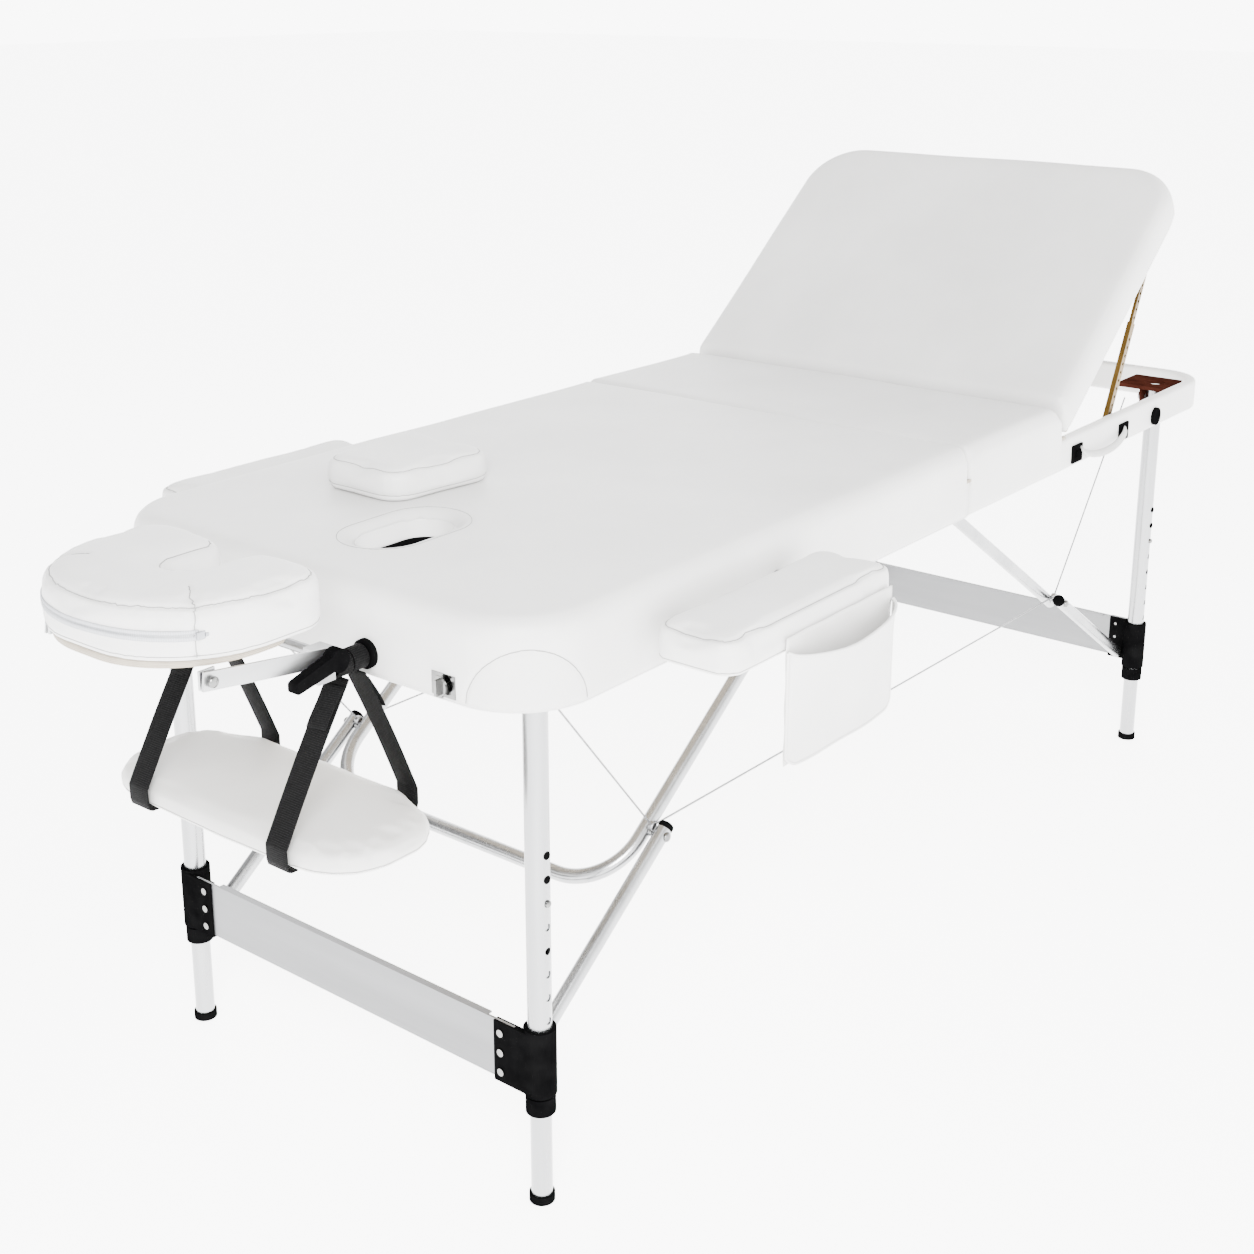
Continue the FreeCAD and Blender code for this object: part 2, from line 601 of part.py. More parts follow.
bend_radius = 78
head_knee, foot_knee = knees["head"][0], knees["foot"][0]
head_pivot = V(S.head_leg + S.strut_span_head, 0, S.pivot_height)
foot_pivot = V(S.foot_leg - S.strut_span_foot, 0, S.pivot_height)
slope = (head_knee - head_pivot).normalize()
crossing = head_knee + slope * 92
side_shift = V(0, S.strut_side, 0)
loop = bent_tube([head_pivot - side_shift + slope * 2, crossing - side_shift, crossing + side_shift,
                  head_pivot + side_shift + slope * 2], [bend_radius, bend_radius], "LegLoop")
head_holes = [rod((head_pivot.x, side * S.strut_side - 20, "pivot_height"), Y, 3.3, 40) for side in SIDES]
head_ears = both_sides(lambda side: knee_lug("head", side))
node("head_strut", boolean("Cut", boolean("Fuse", loop, *head_ears), *head_holes))

foot_slope = (foot_knee - foot_pivot).normalize()
foot_struts = []
for side in SIDES:
    shift = V(0, side * S.strut_side, 0)
    tube = pipe(foot_pivot + shift + foot_slope * 2, foot_knee + shift + foot_slope * 16, "rod_outer", "rod_bore")
    hole = rod((foot_pivot.x, side * S.strut_side - 20, "pivot_height"), Y, 3.3, 40)
    foot_struts.append(boolean("Cut", boolean("Fuse", tube, knee_lug("foot", side)), hole))
node("foot_struts", *foot_struts)

node("head_braces", *both_sides(lambda side: brace(S.head_leg, "head", side)))
node("foot_braces", *both_sides(lambda side: brace(S.foot_leg, "foot", side)))

# stay cables: one line a side from the head corner bracket over both knees to the foot corner bracket
cable_radius = 1.2
stays = []
for side in SIDES:
    y = side * (S.strut_side + 11.5)
    stops = [V(S.head_leg + 26, y, S.pivot_height - 2), V(head_knee.x, y, head_knee.z + 8),
             V(foot_knee.x, y, foot_knee.z + 8), V(S.foot_leg - 26, y, S.pivot_height - 2)]
    for start, end in zip(stops, stops[1:]):
        run = (end - start).normalize()
        first, last = start + run * 8, end - run * 8
        stays.append(primitive("Cylinder", {"Radius": cable_radius, "Height": (last - first).Length},
                               first, FreeCAD.Rotation(Z, run)))
node("stay_cables", *stays)

# ---------------------------------------------------------------- fittings on the frames
socket_pieces = []
for side in SIDES:
    for x in peg_xs:
        low = -(half_width + 1.5) if side < 0 else inner - 1
        sleeve = rod((x, low, "peg_height"), Y, f"peg_radius + {socket_wall}", S.rail_width + 2.5)
        bore = rod((x, low - 5, "peg_height"), Y, "peg_radius + 0.35", S.rail_width + 12)
        socket_pieces.append(boolean("Cut", sleeve, bore))
grommets = []
for side in SIDES:
    at = side * S.post_side
    sleeve = rod(("head_end - 4", at, "post_height"), X, f"post_radius + {socket_wall}", S.rail_width + 60)
    rim = rod(("head_end - 7", at, "post_height"), X, 17, 6.8)
    bore = rod(("head_end - 10", at, "post_height"), X, "post_radius + 0.35", S.rail_width + 80)
    grommets.append(boolean("Cut", boolean("Fuse", sleeve, rim), bore))
node("head_bushings", *socket_pieces, *grommets)

latch_y, latch_z = -232, 638
plate = box(("head_end - 2.5", latch_y - 17, latch_z - 13), 2.5, 34, 26)
boss = rod(("head_end - 6", latch_y, latch_z), X, 5, 5)
node("latch_base", boolean("Fuse", plate, boss))
lever_disc = rod(("head_end - 9.5", latch_y, latch_z), X, 10, 3)
lever_arm = box(("head_end - 9.5", latch_y - 4, latch_z - 12), 3, 8, 24)
lever_grip = box(("head_end - 15", latch_y - 1.6, latch_z - 9), 5.8, 3.2, 18)
node("latch_turn", boolean("Fuse", lever_disc, lever_arm, lever_grip))
keeper = box(("foot_end", latch_y - 13, latch_z - 10), 2.5, 26, 20)
slot = box(("foot_end - 1", latch_y - 5, latch_z - 2.5), 6, 10, 5)
node("latch_keeper", boolean("Cut", keeper, slot))

plates = []
for centre, length in ((S.fold + 350, 34), (S.fold + 525, 34)):
    block = box((centre - length / 2, -half_width - 4, S.frame_bottom + 6), length, 4, 28)
    plates.append(boolean("Fuse", block, rod((centre - 4, -half_width - 3, S.frame_bottom + 20), -Y, 5, 4)))
for side in SIDES:
    plates.append(rod((S.fold + 655, side * half_width, S.frame_bottom + 20), Y * side, 15, 6))
node("side_plates", *plates)

strap_low, strap_high = S.fold + 356, S.fold + 519
strap_edges = [(strap_low, S.frame_bottom + 26, 0), (strap_low + 24, S.frame_bottom + 2, 14),
               (strap_high - 24, S.frame_bottom + 2, 14), (strap_high, S.frame_bottom + 26, 0),
               (strap_high, S.frame_bottom + 30, 0), (strap_high - 26, S.frame_bottom + 6, 10),
               (strap_low + 26, S.frame_bottom + 6, 10), (strap_low, S.frame_bottom + 30, 0)]
handle_depth = 14
node("carry_handle", side_profile(strap_edges, -half_width - 5 - handle_depth, handle_depth))

# ---------------------------------------------------------------- face cradle
base_x = S.head_end - 70
posts = []
for side in SIDES:
    at = side * S.post_side
    posts.append(rod((base_x - 4, at, "post_height"), X, "post_radius", 70 + S.rail_width + 48))
bar = rod((base_x, -S.post_side - 22, "post_height + 20"), Y, 6, 2 * S.post_side + 44)
blocks = [box((base_x - 12, side * S.post_side - 11, "post_height - 10"), 24, 22, 38) for side in SIDES]
node("headrest_posts", boolean("Fuse", *posts, *blocks, bar))

arm_pivot = V(base_x, 0, S.post_height + 20)
tilt_pivot = V(S.head_end - 223, 0, 688)
arm_run = tilt_pivot - arm_pivot
arm_slope = math.degrees(math.atan2(arm_run.z, -arm_run.x))
arms = []
for side in SIDES:
    y = side * (S.post_side + 13.5) - 1.5
    flat = box((-arm_run.Length - 9, 0, -10), arm_run.Length + 22, 3, 20)
    arm = boolean("Cut", flat, rod((0, -5, 0), Y, 6.35, 13), rod((-arm_run.Length, -5, 0), Y, 3.3, 13))
    arm.Placement = FreeCAD.Placement(V(arm_pivot.x, y, arm_pivot.z), FreeCAD.Rotation(Y, arm_slope))
    arms.append(arm)
node("headrest_arms", *arms)

cam_y = -S.post_side - 19.5
hub = boolean("Cut", rod((arm_pivot.x, cam_y - 14, arm_pivot.z), Y, 13, 15),
              rod((arm_pivot.x, cam_y - 12.5, arm_pivot.z), Y, 6.35, 20))
handle = side_profile([(arm_pivot.x - 6, arm_pivot.z - 9, 3), (arm_pivot.x - 62, arm_pivot.z - 20, 4),
                       (arm_pivot.x - 62, arm_pivot.z - 7, 4), (arm_pivot.x - 6, arm_pivot.z + 9, 3)],
                      cam_y - 14, 13)
node("headrest_cam_lever", boolean("Cut", boolean("Fuse", hub, handle),
                                   rod((arm_pivot.x, cam_y - 12.5, arm_pivot.z), Y, 6.35, 20)))

cushion_x = S.head_end - S.headrest_reach + 3
lobe_end = S.head_end - 65
cw = S.cushion_width / 2
slot_half = 36
board_end, board_half, board_slot = S.head_end - 112, cw - 24, slot_half + 12
board_points = [(board_end, -board_half, 30), (board_end, -board_slot, 16),
                (cushion_x + 122, -board_slot, 30), (cushion_x + 122, board_slot, 30),
                (board_end, board_slot, 16), (board_end, board_half, 30),
                (cushion_x + 14, board_half, 108), (cushion_x + 14, -board_half, 108)]
board = slab(board_points, S.cushion_bottom - 9, 8)
lugs = []
for side in SIDES:
    low = side * (S.post_side + 17.5)
    y = min(low, low + side * 3)
    lug_y = side * (S.post_side + 8) - 1.5
    lugs.append(box((tilt_pivot.x - 10, lug_y, tilt_pivot.z - 9), 20, 3, S.cushion_bottom - 8 - tilt_pivot.z + 9))
pins = [rod((tilt_pivot.x, side * (S.post_side + 7), tilt_pivot.z), Y * side, 3, 14) for side in SIDES]
node("headrest_platform", boolean("Fuse", board, *lugs, *pins))

cushion_points = [(lobe_end, -cw, 44), (lobe_end, -slot_half, 26),
                  (cushion_x + 106, -slot_half, slot_half - 2), (cushion_x + 106, slot_half, slot_half - 2),
                  (lobe_end, slot_half, 26), (lobe_end, cw, 44),
                  (cushion_x, cw, 128), (cushion_x, -cw, 128)]
node("headrest_cushion", slab(cushion_points, S.cushion_bottom, S.cushion_thick))

# ---------------------------------------------------------------- arm shelf on four straps
shelf_x = S.head_end - 47
shelf_points = [(shelf_x - 96, -S.shelf_half, 60), (shelf_x + 60, -S.shelf_half, 90), (shelf_x + 96, -120, 60),
                (shelf_x + 96, 120, 60), (shelf_x + 60, S.shelf_half, 90), (shelf_x - 96, S.shelf_half, 60),
                (shelf_x - 70, 0, 300)]
node("arm_shelf", slab(shelf_points, S.shelf_top - S.shelf_thick, S.shelf_thick))

loop_xs = (S.head_end - 21, S.head_end - 44)
straps = []
for side in SIDES:
    for x, foot_x in zip(loop_xs, (shelf_x + 104, shelf_x - 98.5)):
        ring = boolean("Cut", rod((x - 10, side * S.post_side, "post_height"), X, 14, 20),
                       rod((x - 12, side * S.post_side, "post_height"), X, 12, 24))
        start = V(x, side * S.post_side, S.post_height - 13)
        finish = V(foot_x, side * S.post_side, S.shelf_top - 12)
        run = finish - start
        band = box((-S.strap_thick / 2, -S.strap_width / 2, 0), "strap_thick", "strap_width", run.Length)
        lean_angle = math.degrees(math.atan2(run.x, run.z))
        hung = boolean("Fuse", band, rod((0, -S.strap_width / 2, 0), Y, "strap_thick/2", "strap_width"))
        hung.Placement = FreeCAD.Placement(start, FreeCAD.Rotation(Y, lean_angle))
        straps.append(boolean("Fuse", ring, hung))
node("shelf_straps", *straps)

# ---------------------------------------------------------------- face hole plug, side armrests and pocket
plug_x, plug_y = S.head_end + 322, 127
plug_points = [(plug_x - 84, plug_y - 62, 40), (plug_x + 84, plug_y - 84, 40),
               (plug_x + 84, plug_y + 84, 40), (plug_x - 84, plug_y + 62, 40)]
node("face_plug", slab(plug_points, S.pad_top + 0.4, 42))

for side, name in ((-1, "near"), (1, "far")):
    y_in = half_width + S.armrest_gap
    low = -y_in - S.armrest_width if side < 0 else y_in
    board = slab([(armrest_x, low, 28), (armrest_x + S.armrest_length, low, 28),
                  (armrest_x + S.armrest_length, low + S.armrest_width, 28),
                  (armrest_x, low + S.armrest_width, 28)], S.armrest_bottom, S.armrest_thick)
    pegs = [rod((x, side * (inner - 8), "peg_height"), Y * side, "peg_radius",
                S.armrest_gap + S.rail_width + 8 + 20) for x in peg_xs]
    node("armrest_" + name, boolean("Fuse", board, *pegs))

pocket_x, pocket_y = armrest_x + 100, -(half_width + S.armrest_gap + S.armrest_width)
pocket_low, pocket_high = 518, 652
wall = 1.6
pocket_width, pocket_deep = 222, 18
shell = box((pocket_x, pocket_y - 0.4 - pocket_deep, pocket_low), pocket_width, pocket_deep,
            pocket_high - pocket_low)
space = box((pocket_x + wall, pocket_y - 0.4 - pocket_deep + wall, pocket_low + wall), pocket_width - 2 * wall,
            pocket_deep - 2 * wall, 200)
tab = box((pocket_x, pocket_y - 2, pocket_high - 6), pocket_width, 1.6, 20)
node("armrest_pocket", boolean("Fuse", boolean("Cut", shell, space), tab))

# ---------------------------------------------------------------- check and write
doc.recompute()
failed = [obj.Name for obj in doc.Objects if "Invalid" in obj.State or "Error" in obj.State]
if failed:
    raise RuntimeError(f"objects that did not compute: {failed}")
os.makedirs("parts", exist_ok=True)
for obj in nodes:
    shape = obj.Shape
    if shape.isNull() or not shape.isValid() or shape.Volume <= 0:
        raise RuntimeError(f"{obj.Label} is not a valid solid")
    shape.exportStep(f"parts/{obj.Label}.step")
print(len(nodes), "nodes;", "knees", head_knee, foot_knee, "prop", prop_run.Length, prop_slope,
      "arm", arm_slope)
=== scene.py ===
"""A portable massage table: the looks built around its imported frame."""

import json
import math

import bmesh
import bpy
import numpy as np
from mathutils import Matrix, Vector, noise
from mathutils.bvhtree import BVHTree


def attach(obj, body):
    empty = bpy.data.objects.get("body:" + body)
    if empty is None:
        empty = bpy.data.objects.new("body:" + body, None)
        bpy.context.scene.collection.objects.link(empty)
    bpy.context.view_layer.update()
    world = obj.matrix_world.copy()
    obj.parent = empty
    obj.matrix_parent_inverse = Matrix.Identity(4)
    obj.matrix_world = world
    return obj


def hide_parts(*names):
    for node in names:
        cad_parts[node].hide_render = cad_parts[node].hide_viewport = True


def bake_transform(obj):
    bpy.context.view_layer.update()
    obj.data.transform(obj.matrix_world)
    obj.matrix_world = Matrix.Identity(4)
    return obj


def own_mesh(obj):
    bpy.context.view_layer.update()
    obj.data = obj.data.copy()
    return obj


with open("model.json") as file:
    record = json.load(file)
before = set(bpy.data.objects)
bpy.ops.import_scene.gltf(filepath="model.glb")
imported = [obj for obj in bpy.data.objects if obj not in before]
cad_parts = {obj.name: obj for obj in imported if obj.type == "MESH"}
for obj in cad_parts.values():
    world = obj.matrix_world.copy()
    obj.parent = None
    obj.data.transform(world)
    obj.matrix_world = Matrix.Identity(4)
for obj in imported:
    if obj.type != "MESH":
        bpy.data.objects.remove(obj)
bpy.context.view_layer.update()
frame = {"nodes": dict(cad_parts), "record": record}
SIDES = {"near": -1, "far": 1}

# ---------------------------------------------------------------- materials


class Look:
    """A procedural material: colour, roughness and bump from textures in the piece's own metres."""

    def __init__(self, name, roughness, metallic=0.0, **sockets):
        self.material = bpy.data.materials.new(name)
        self.material.use_nodes = True
        self.tree = self.material.node_tree
        self.bsdf = self.tree.nodes["Principled BSDF"]
        self.bsdf.inputs["Roughness"].default_value = roughness
        self.bsdf.inputs["Metallic"].default_value = metallic
        for key, value in sockets.items():
            self.bsdf.inputs[key.replace("_", " ")].default_value = value
        self.coords = self.tree.nodes.new("ShaderNodeTexCoord")
        self.normal = None

    def link(self, a, b):
        self.tree.links.new(a, b)

    def mapped(self, stretch, uv=False):
        mapping = self.tree.nodes.new("ShaderNodeMapping")
        mapping.inputs["Scale"].default_value = stretch
        self.link(self.coords.outputs["UV" if uv else "Object"], mapping.inputs["Vector"])
        return mapping.outputs["Vector"]

    def noise(self, scale, stretch=(1, 1, 1), detail=3.0, rough=0.55):
        node = self.tree.nodes.new("ShaderNodeTexNoise")
        node.inputs["Scale"].default_value = scale
        node.inputs["Detail"].default_value = detail
        node.inputs["Roughness"].default_value = rough
        self.link(self.mapped(stretch), node.inputs["Vector"])
        return node.outputs["Fac"]

    def cells(self, scale, feature="SMOOTH_F1", stretch=(1, 1, 1)):
        node = self.tree.nodes.new("ShaderNodeTexVoronoi")
        node.feature = feature
        node.inputs["Scale"].default_value = scale
        self.link(self.mapped(stretch), node.inputs["Vector"])
        return node.outputs["Distance"]

    def wave(self, scale, direction="X", uv=False, stretch=(1, 1, 1), distortion=0.0, profile="SIN"):
        node = self.tree.nodes.new("ShaderNodeTexWave")
        node.bands_direction = direction
        node.wave_profile = profile
        node.inputs["Scale"].default_value = scale
        node.inputs["Distortion"].default_value = distortion
        self.link(self.mapped(stretch, uv), node.inputs["Vector"])
        return node.outputs["Fac"]

    def product(self, a, b, kind="MULTIPLY"):
        node = self.tree.nodes.new("ShaderNodeMath")
        node.operation = kind
        self.link(a, node.inputs[0])
        self.link(b, node.inputs[1])
        return node.outputs["Value"]

    def colour(self, source, *stops):
        """Colour from a texture through a ramp; stops are (place, (r, g, b))."""
        ramp = self.tree.nodes.new("ShaderNodeValToRGB")
        elements = ramp.color_ramp.elements
        while len(elements) < len(stops):
            elements.new(0.5)
        for element, (place, rgb) in zip(elements, stops):
            element.position = place
            element.color = (*rgb, 1)
        self.link(source, ramp.inputs["Fac"])
        self.link(ramp.outputs["Color"], self.bsdf.inputs["Base Color"])
        return self

    def rough(self, source, low, high):
        node = self.tree.nodes.new("ShaderNodeMapRange")
        node.inputs["To Min"].default_value = low
        node.inputs["To Max"].default_value = high
        self.link(source, node.inputs["Value"])
        self.link(node.outputs["Result"], self.bsdf.inputs["Roughness"])
        return self

    def bump(self, source, distance, strength=1.0):
        node = self.tree.nodes.new("ShaderNodeBump")
        node.inputs["Distance"].default_value = distance
        node.inputs["Strength"].default_value = strength
        self.link(source, node.inputs["Height"])
        if self.normal:
            self.link(self.normal, node.inputs["Normal"])
        self.normal = node.outputs["Normal"]
        self.link(self.normal, self.bsdf.inputs["Normal"])
        return self


def leather(name, dark, light, grain=620):
    look = Look(name, 0.45, Sheen_Weight=0.08, Specular_IOR_Level=0.42)
    look.colour(look.noise(5, detail=4), (0.3, dark), (0.7, light))
    look.rough(look.noise(90, detail=4), 0.40, 0.56)
    look.bump(look.noise(9, detail=2), 0.0035, 0.16)
    look.bump(look.cells(grain), 0.00035, 0.30)
    look.bump(look.noise(2200, detail=2), 0.0001, 0.25)
    return look.material


def metal(name, dark, light, low, high, stretch=(1, 1, 0.05), scratch=0.00004):
    look = Look(name, low, 1.0)
    look.colour(look.noise(30, stretch, 4), (0.25, dark), (0.75, light))
    look.rough(look.noise(160, stretch, 5), low, high)
    look.bump(look.noise(900, stretch, 3), scratch, 0.35)
    return look.material


def plastic(name, dark, light, low=0.42, high=0.58, grain=0.00012):
    look = Look(name, low, Specular_IOR_Level=0.0)
    look.colour(look.noise(40, detail=5), (0.3, dark), (0.7, light))
    look.rough(look.noise(300, detail=4), low, high)
    look.bump(look.cells(1300), grain, 0.35)
    look.bump(look.noise(18), 0.0006, 0.10)
    return look.material


def webbing(name, dark, light, height=0.0005):
    """Woven tape: U runs across it and V along it, both in metres."""
    look = Look(name, 0.75, Specular_IOR_Level=0.06)
    ribs = look.wave(130, "Y", True, distortion=0.4)
    threads = look.wave(260, "X", True, (1, 1, 1), distortion=0.6)
    weave = look.product(ribs, threads)
    look.colour(look.product(weave, look.noise(400), "MULTIPLY"), (0.05, dark), (0.55, light))
    look.rough(look.noise(500), 0.62, 0.85)
    look.bump(weave, height, 0.9)
    look.bump(look.noise(1500), 0.0002, 0.5)
    return look.material


def wood(name):
    look = Look(name, 0.6)
    ply = look.wave(190, "Z", distortion=1.2)
    look.colour(look.product(ply, look.noise(60, (0.15, 1, 1), 5), "ADD"),
                (0.35, (0.15, 0.125, 0.092)), (0.95, (0.30, 0.262, 0.208)))
    look.rough(look.noise(120), 0.5, 0.75)
    look.bump(look.noise(350, (0.1, 1, 1), 4), 0.0002, 0.5)
    return look.material


white = leather("white_leatherette", (0.51, 0.506, 0.497), (0.58, 0.576, 0.567))
cream = leather("shelf_leatherette", (0.46, 0.455, 0.442), (0.53, 0.525, 0.512))
rail_white = leather("rail_leatherette", (0.48, 0.477, 0.470), (0.55, 0.547, 0.540))
# Seam thread: a real sewn thread, but painted dark grey so that it also stands for the shadow in each seam's
# crease: painted shade.
crease_shade_thread = Look("seam_thread_painted_shade", 0.7)
crease_shade_thread.colour(crease_shade_thread.noise(900), (0.3, (0.19, 0.19, 0.186)), (0.7, (0.28, 0.28, 0.275)))
crease_shade_thread.bump(crease_shade_thread.wave(420, "X", distortion=2.0), 0.0003, 0.8)
crease_shade_thread = crease_shade_thread.material
tube = metal("satin_tube", (0.26, 0.264, 0.27), (0.36, 0.364, 0.37), 0.20, 0.32)
sheet_metal = metal("satin_sheet", (0.16, 0.162, 0.166), (0.20, 0.203, 0.208), 0.40, 0.52, (1, 0.05, 1))
arm_metal = metal("arm_metal", (0.36, 0.365, 0.37), (0.46, 0.465, 0.47), 0.30, 0.42, (0.05, 1, 1))
steel = metal("zinc_steel", (0.22, 0.22, 0.225), (0.32, 0.32, 0.325), 0.26, 0.40)
chrome = metal("bright_nickel", (0.10, 0.10, 0.10), (0.22, 0.22, 0.215), 0.08, 0.20, (1, 1, 1), 0.00002)
brass = metal("yellow_passivated", (0.055, 0.033, 0.008), (0.16, 0.10, 0.030), 0.26, 0.42)
black = plastic("black_nylon", (0.0012, 0.0012, 0.0013), (0.0028, 0.0028, 0.0029))
maroon = plastic("maroon_nylon", (0.016, 0.0045, 0.003), (0.034, 0.010, 0.0065), 0.28, 0.42)
board = wood("birch_plywood")
strap_black = webbing("black_webbing", (0.0008, 0.0008, 0.0008), (0.008, 0.008, 0.0085))
strap_white = webbing("white_webbing", (0.42, 0.42, 0.41), (0.74, 0.74, 0.73))
zip_tape = webbing("zip_tape", (0.36, 0.37, 0.39), (0.56, 0.57, 0.60), 0.0003)
zip_metal = metal("zip_metal", (0.28, 0.29, 0.31), (0.40, 0.41, 0.43), 0.25, 0.4, (1, 1, 1))
rope = Look("wire_rope", 0.35, 1.0)
rope.colour(rope.noise(300), (0.3, (0.14, 0.14, 0.145)), (0.7, (0.30, 0.30, 0.305)))
rope.bump(rope.wave(600, "DIAGONAL"), 0.0004, 0.8)
rope = rope.material

BY_SLOT = {"pad_vinyl": white, "strap": strap_black, "white_strap": strap_white, "frame": rail_white,
           "tube": tube, "plate": sheet_metal, "board": board, "black_plastic": black,
           "brown_plastic": maroon, "steel": steel, "bright_steel": chrome, "prop": brass, "cable": rope}
slot_of = {entry["node"]: entry["material_slot"] for entry in frame["record"]["subparts"]}


# ---------------------------------------------------------------- mesh tools
def make(name, bm, material, body, smooth=True):
    mesh = bpy.data.meshes.new(name)
    bm.to_mesh(mesh)
    bm.free()
    obj = bpy.data.objects.new(name, mesh)
    bpy.context.scene.collection.objects.link(obj)
    mesh.materials.append(material)
    if smooth:
        mesh.shade_smooth()
    if body:
        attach(obj, body)
    return obj


def loft(rings, closed=True):
    """A bmesh of quads through rings of equal length; closed adds a cap at each end."""
    bm = bmesh.new()
    rows = [[bm.verts.new(p) for p in ring] for ring in rings]
    count = len(rows[0])
    for low, high in zip(rows, rows[1:]):
        for i in range(count):
            j = (i + 1) % count
            bm.faces.new((low[i], low[j], high[j], high[i]))
    if closed:
        bm.faces.new(list(reversed(rows[0])))
        bm.faces.new(rows[-1])
    bmesh.ops.recalc_face_normals(bm, faces=bm.faces)
    return bm


def rounded(points, step=0.006):
    """A closed outline from (x, y, radius) corners, as points in order."""
    out = []
    count = len(points)
    for i, (x, y, radius) in enumerate(points):
        here = Vector((x, y))
        back = (Vector(points[i - 1][:2]) - here).normalized()
        ahead = (Vector(points[(i + 1) % count][:2]) - here).normalized()
        if radius <= 0:
            out.append(here)
            continue
        half = back.angle(ahead) / 2
        reach = radius / math.tan(half)
        centre = here + (back + ahead).normalized() * (radius / math.sin(half))
        start, end = here + back * reach, here + ahead * reach
        sweep = math.pi - 2 * half
        pieces = max(3, int(radius * sweep / step))
        a, b = start - centre, end - centre
        turn = a.angle_signed(b)
        for k in range(pieces + 1):
            angle = -turn * k / pieces
            out.append(centre + Vector((a.x * math.cos(angle) - a.y * math.sin(angle),
                                        a.x * math.sin(angle) + a.y * math.cos(angle))))
    dense = []
    for p, q in zip(out, out[1:] + out[:1]):
        length = (q - p).length
        if length < 1e-6:
            continue
        pieces = max(1, int(length / (step * 2)))
        dense += [p.lerp(q, k / pieces) for k in range(pieces)]
    return dense


def normals_of(outline):
    """Outward unit normals of a closed outline."""
    area = sum(p.x * q.y - q.x * p.y for p, q in zip(outline, outline[1:] + outline[:1]))
    sign = 1 if area > 0 else -1
    found = []
    for i, p in enumerate(outline):
        run = outline[(i + 1) % len(outline)] - outline[i - 1]
        found.append(Vector((run.y, -run.x)).normalized() * sign)
    return found


def inset(outline, distance, fold=None):
    """The outline moved inward; fold is (normal, share): a side that moves less."""
    moved = []
    for p, n in zip(outline, normals_of(outline)):
        reach = Vector((n.x, n.y))
        if fold:
            for direction, share in fold:
                if n.x * direction > 0.6:
                    reach.x *= share
        moved.append(p - reach * distance)
    return moved


def edge_profile(low, high, low_radius, high_radius, pieces=5):
    """(inset, height) pairs up a side whose bottom and top edges are round."""
    found = []
    for k in range(pieces + 1):
        a = math.pi / 2 * k / pieces
        found.append((low_radius * (1 - math.sin(a)), low + low_radius * (1 - math.cos(a))))
    for k in range(pieces + 1):
        a = math.pi / 2 * k / pieces
        found.append((high_radius * (1 - math.cos(a)), high - high_radius * (1 - math.sin(a))))
    return found


def inside(co, outline):
    """Which points lie inside a closed outline."""
    x, y = co[:, 0], co[:, 1]
    hit = np.zeros(len(co), bool)
    for p, q in zip(outline, outline[1:] + outline[:1]):
        crosses = (p.y > y) != (q.y > y)
        with np.errstate(divide="ignore", invalid="ignore"):
            at = (q.x - p.x) * (y - p.y) / (q.y - p.y if q.y != p.y else 1e-9) + p.x
        hit ^= crosses & (x < at)
    return hit


def distance_to(co, line, closed=True):
    """Distance of points to a polyline, in as many dimensions as the line has."""
    pts = [np.array(p, float) for p in line]
    width = len(pts[0])
    best = np.full(len(co), 9.0)
    pairs = list(zip(pts, pts[1:] + pts[:1])) if closed else list(zip(pts, pts[1:]))
    for p, q in pairs:
        d = q - p
        size = max(float(d @ d), 1e-12)
        t = np.clip(((co[:, :width] - p) @ d) / size, 0, 1)
        best = np.minimum(best, np.linalg.norm(co[:, :width] - (p + t[:, None] * d), axis=1))
    return best


def coords(obj):
    co = np.empty(len(obj.data.vertices) * 3)
    obj.data.vertices.foreach_get("co", co)
    return co.reshape(-1, 3)


def set_coords(obj, co):
    obj.data.vertices.foreach_set("co", co.ravel())
    obj.data.update()


def vertex_normals(obj):
    n = np.empty(len(obj.data.vertices) * 3)
    obj.data.vertex_normals.foreach_get("vector", n)
    return n.reshape(-1, 3)


def apply_all(obj):
    """Replace the mesh by what its modifiers make."""
    bpy.context.view_layer.update()
    result = bpy.data.meshes.new_from_object(obj.evaluated_get(bpy.context.evaluated_depsgraph_get()))
    result.name = obj.name
    obj.modifiers.clear()
    obj.data = result
    result.shade_smooth()


def remesh(obj, voxel, smooth=2, factor=0.5):
    modifier = obj.modifiers.new("voxel", "REMESH")
    modifier.mode, modifier.voxel_size, modifier.use_smooth_shade = "VOXEL", voxel, True
    if smooth:
        soften = obj.modifiers.new("soften", "SMOOTH")
        soften.factor, soften.iterations = factor, smooth
    apply_all(obj)


def subdivide(obj, levels=1):
    modifier = obj.modifiers.new("fine", "SUBSURF")
    modifier.levels = modifier.render_levels = levels
    apply_all(obj)


def puff(obj, cap, pinned):
    """Cloth under pressure: the cover swells by up to cap and wrinkles where it is pinned."""
    scene = bpy.context.scene
    rest = coords(obj)
    cloth = obj.modifiers.new("cloth", "CLOTH")
    settings = cloth.settings
    settings.quality = 6
    settings.use_pressure = True
    settings.uniform_pressure_force = 4.0
    settings.effector_weights.gravity = 0
    settings.tension_stiffness = settings.compression_stiffness = 12
    settings.bending_stiffness = 0.6
    group = obj.vertex_groups.new(name="held")
    group.add([int(i) for i in np.nonzero(pinned(rest))[0]], 1.0, "REPLACE")
    settings.vertex_group_mass = "held"
    for step in range(1, 21):
        scene.frame_set(step)
    moved = bpy.data.meshes.new_from_object(obj.evaluated_get(bpy.context.evaluated_depsgraph_get()))
    co = np.empty(len(moved.vertices) * 3)
    moved.vertices.foreach_get("co", co)
    bpy.data.meshes.remove(moved)
    obj.modifiers.clear()
    obj.vertex_groups.clear()
    scene.frame_set(1)
    shift = co.reshape(-1, 3) - rest
    length = np.linalg.norm(shift, axis=1, keepdims=True)
    set_coords(obj, rest + shift * np.minimum(1, cap / np.maximum(length, 1e-9)))


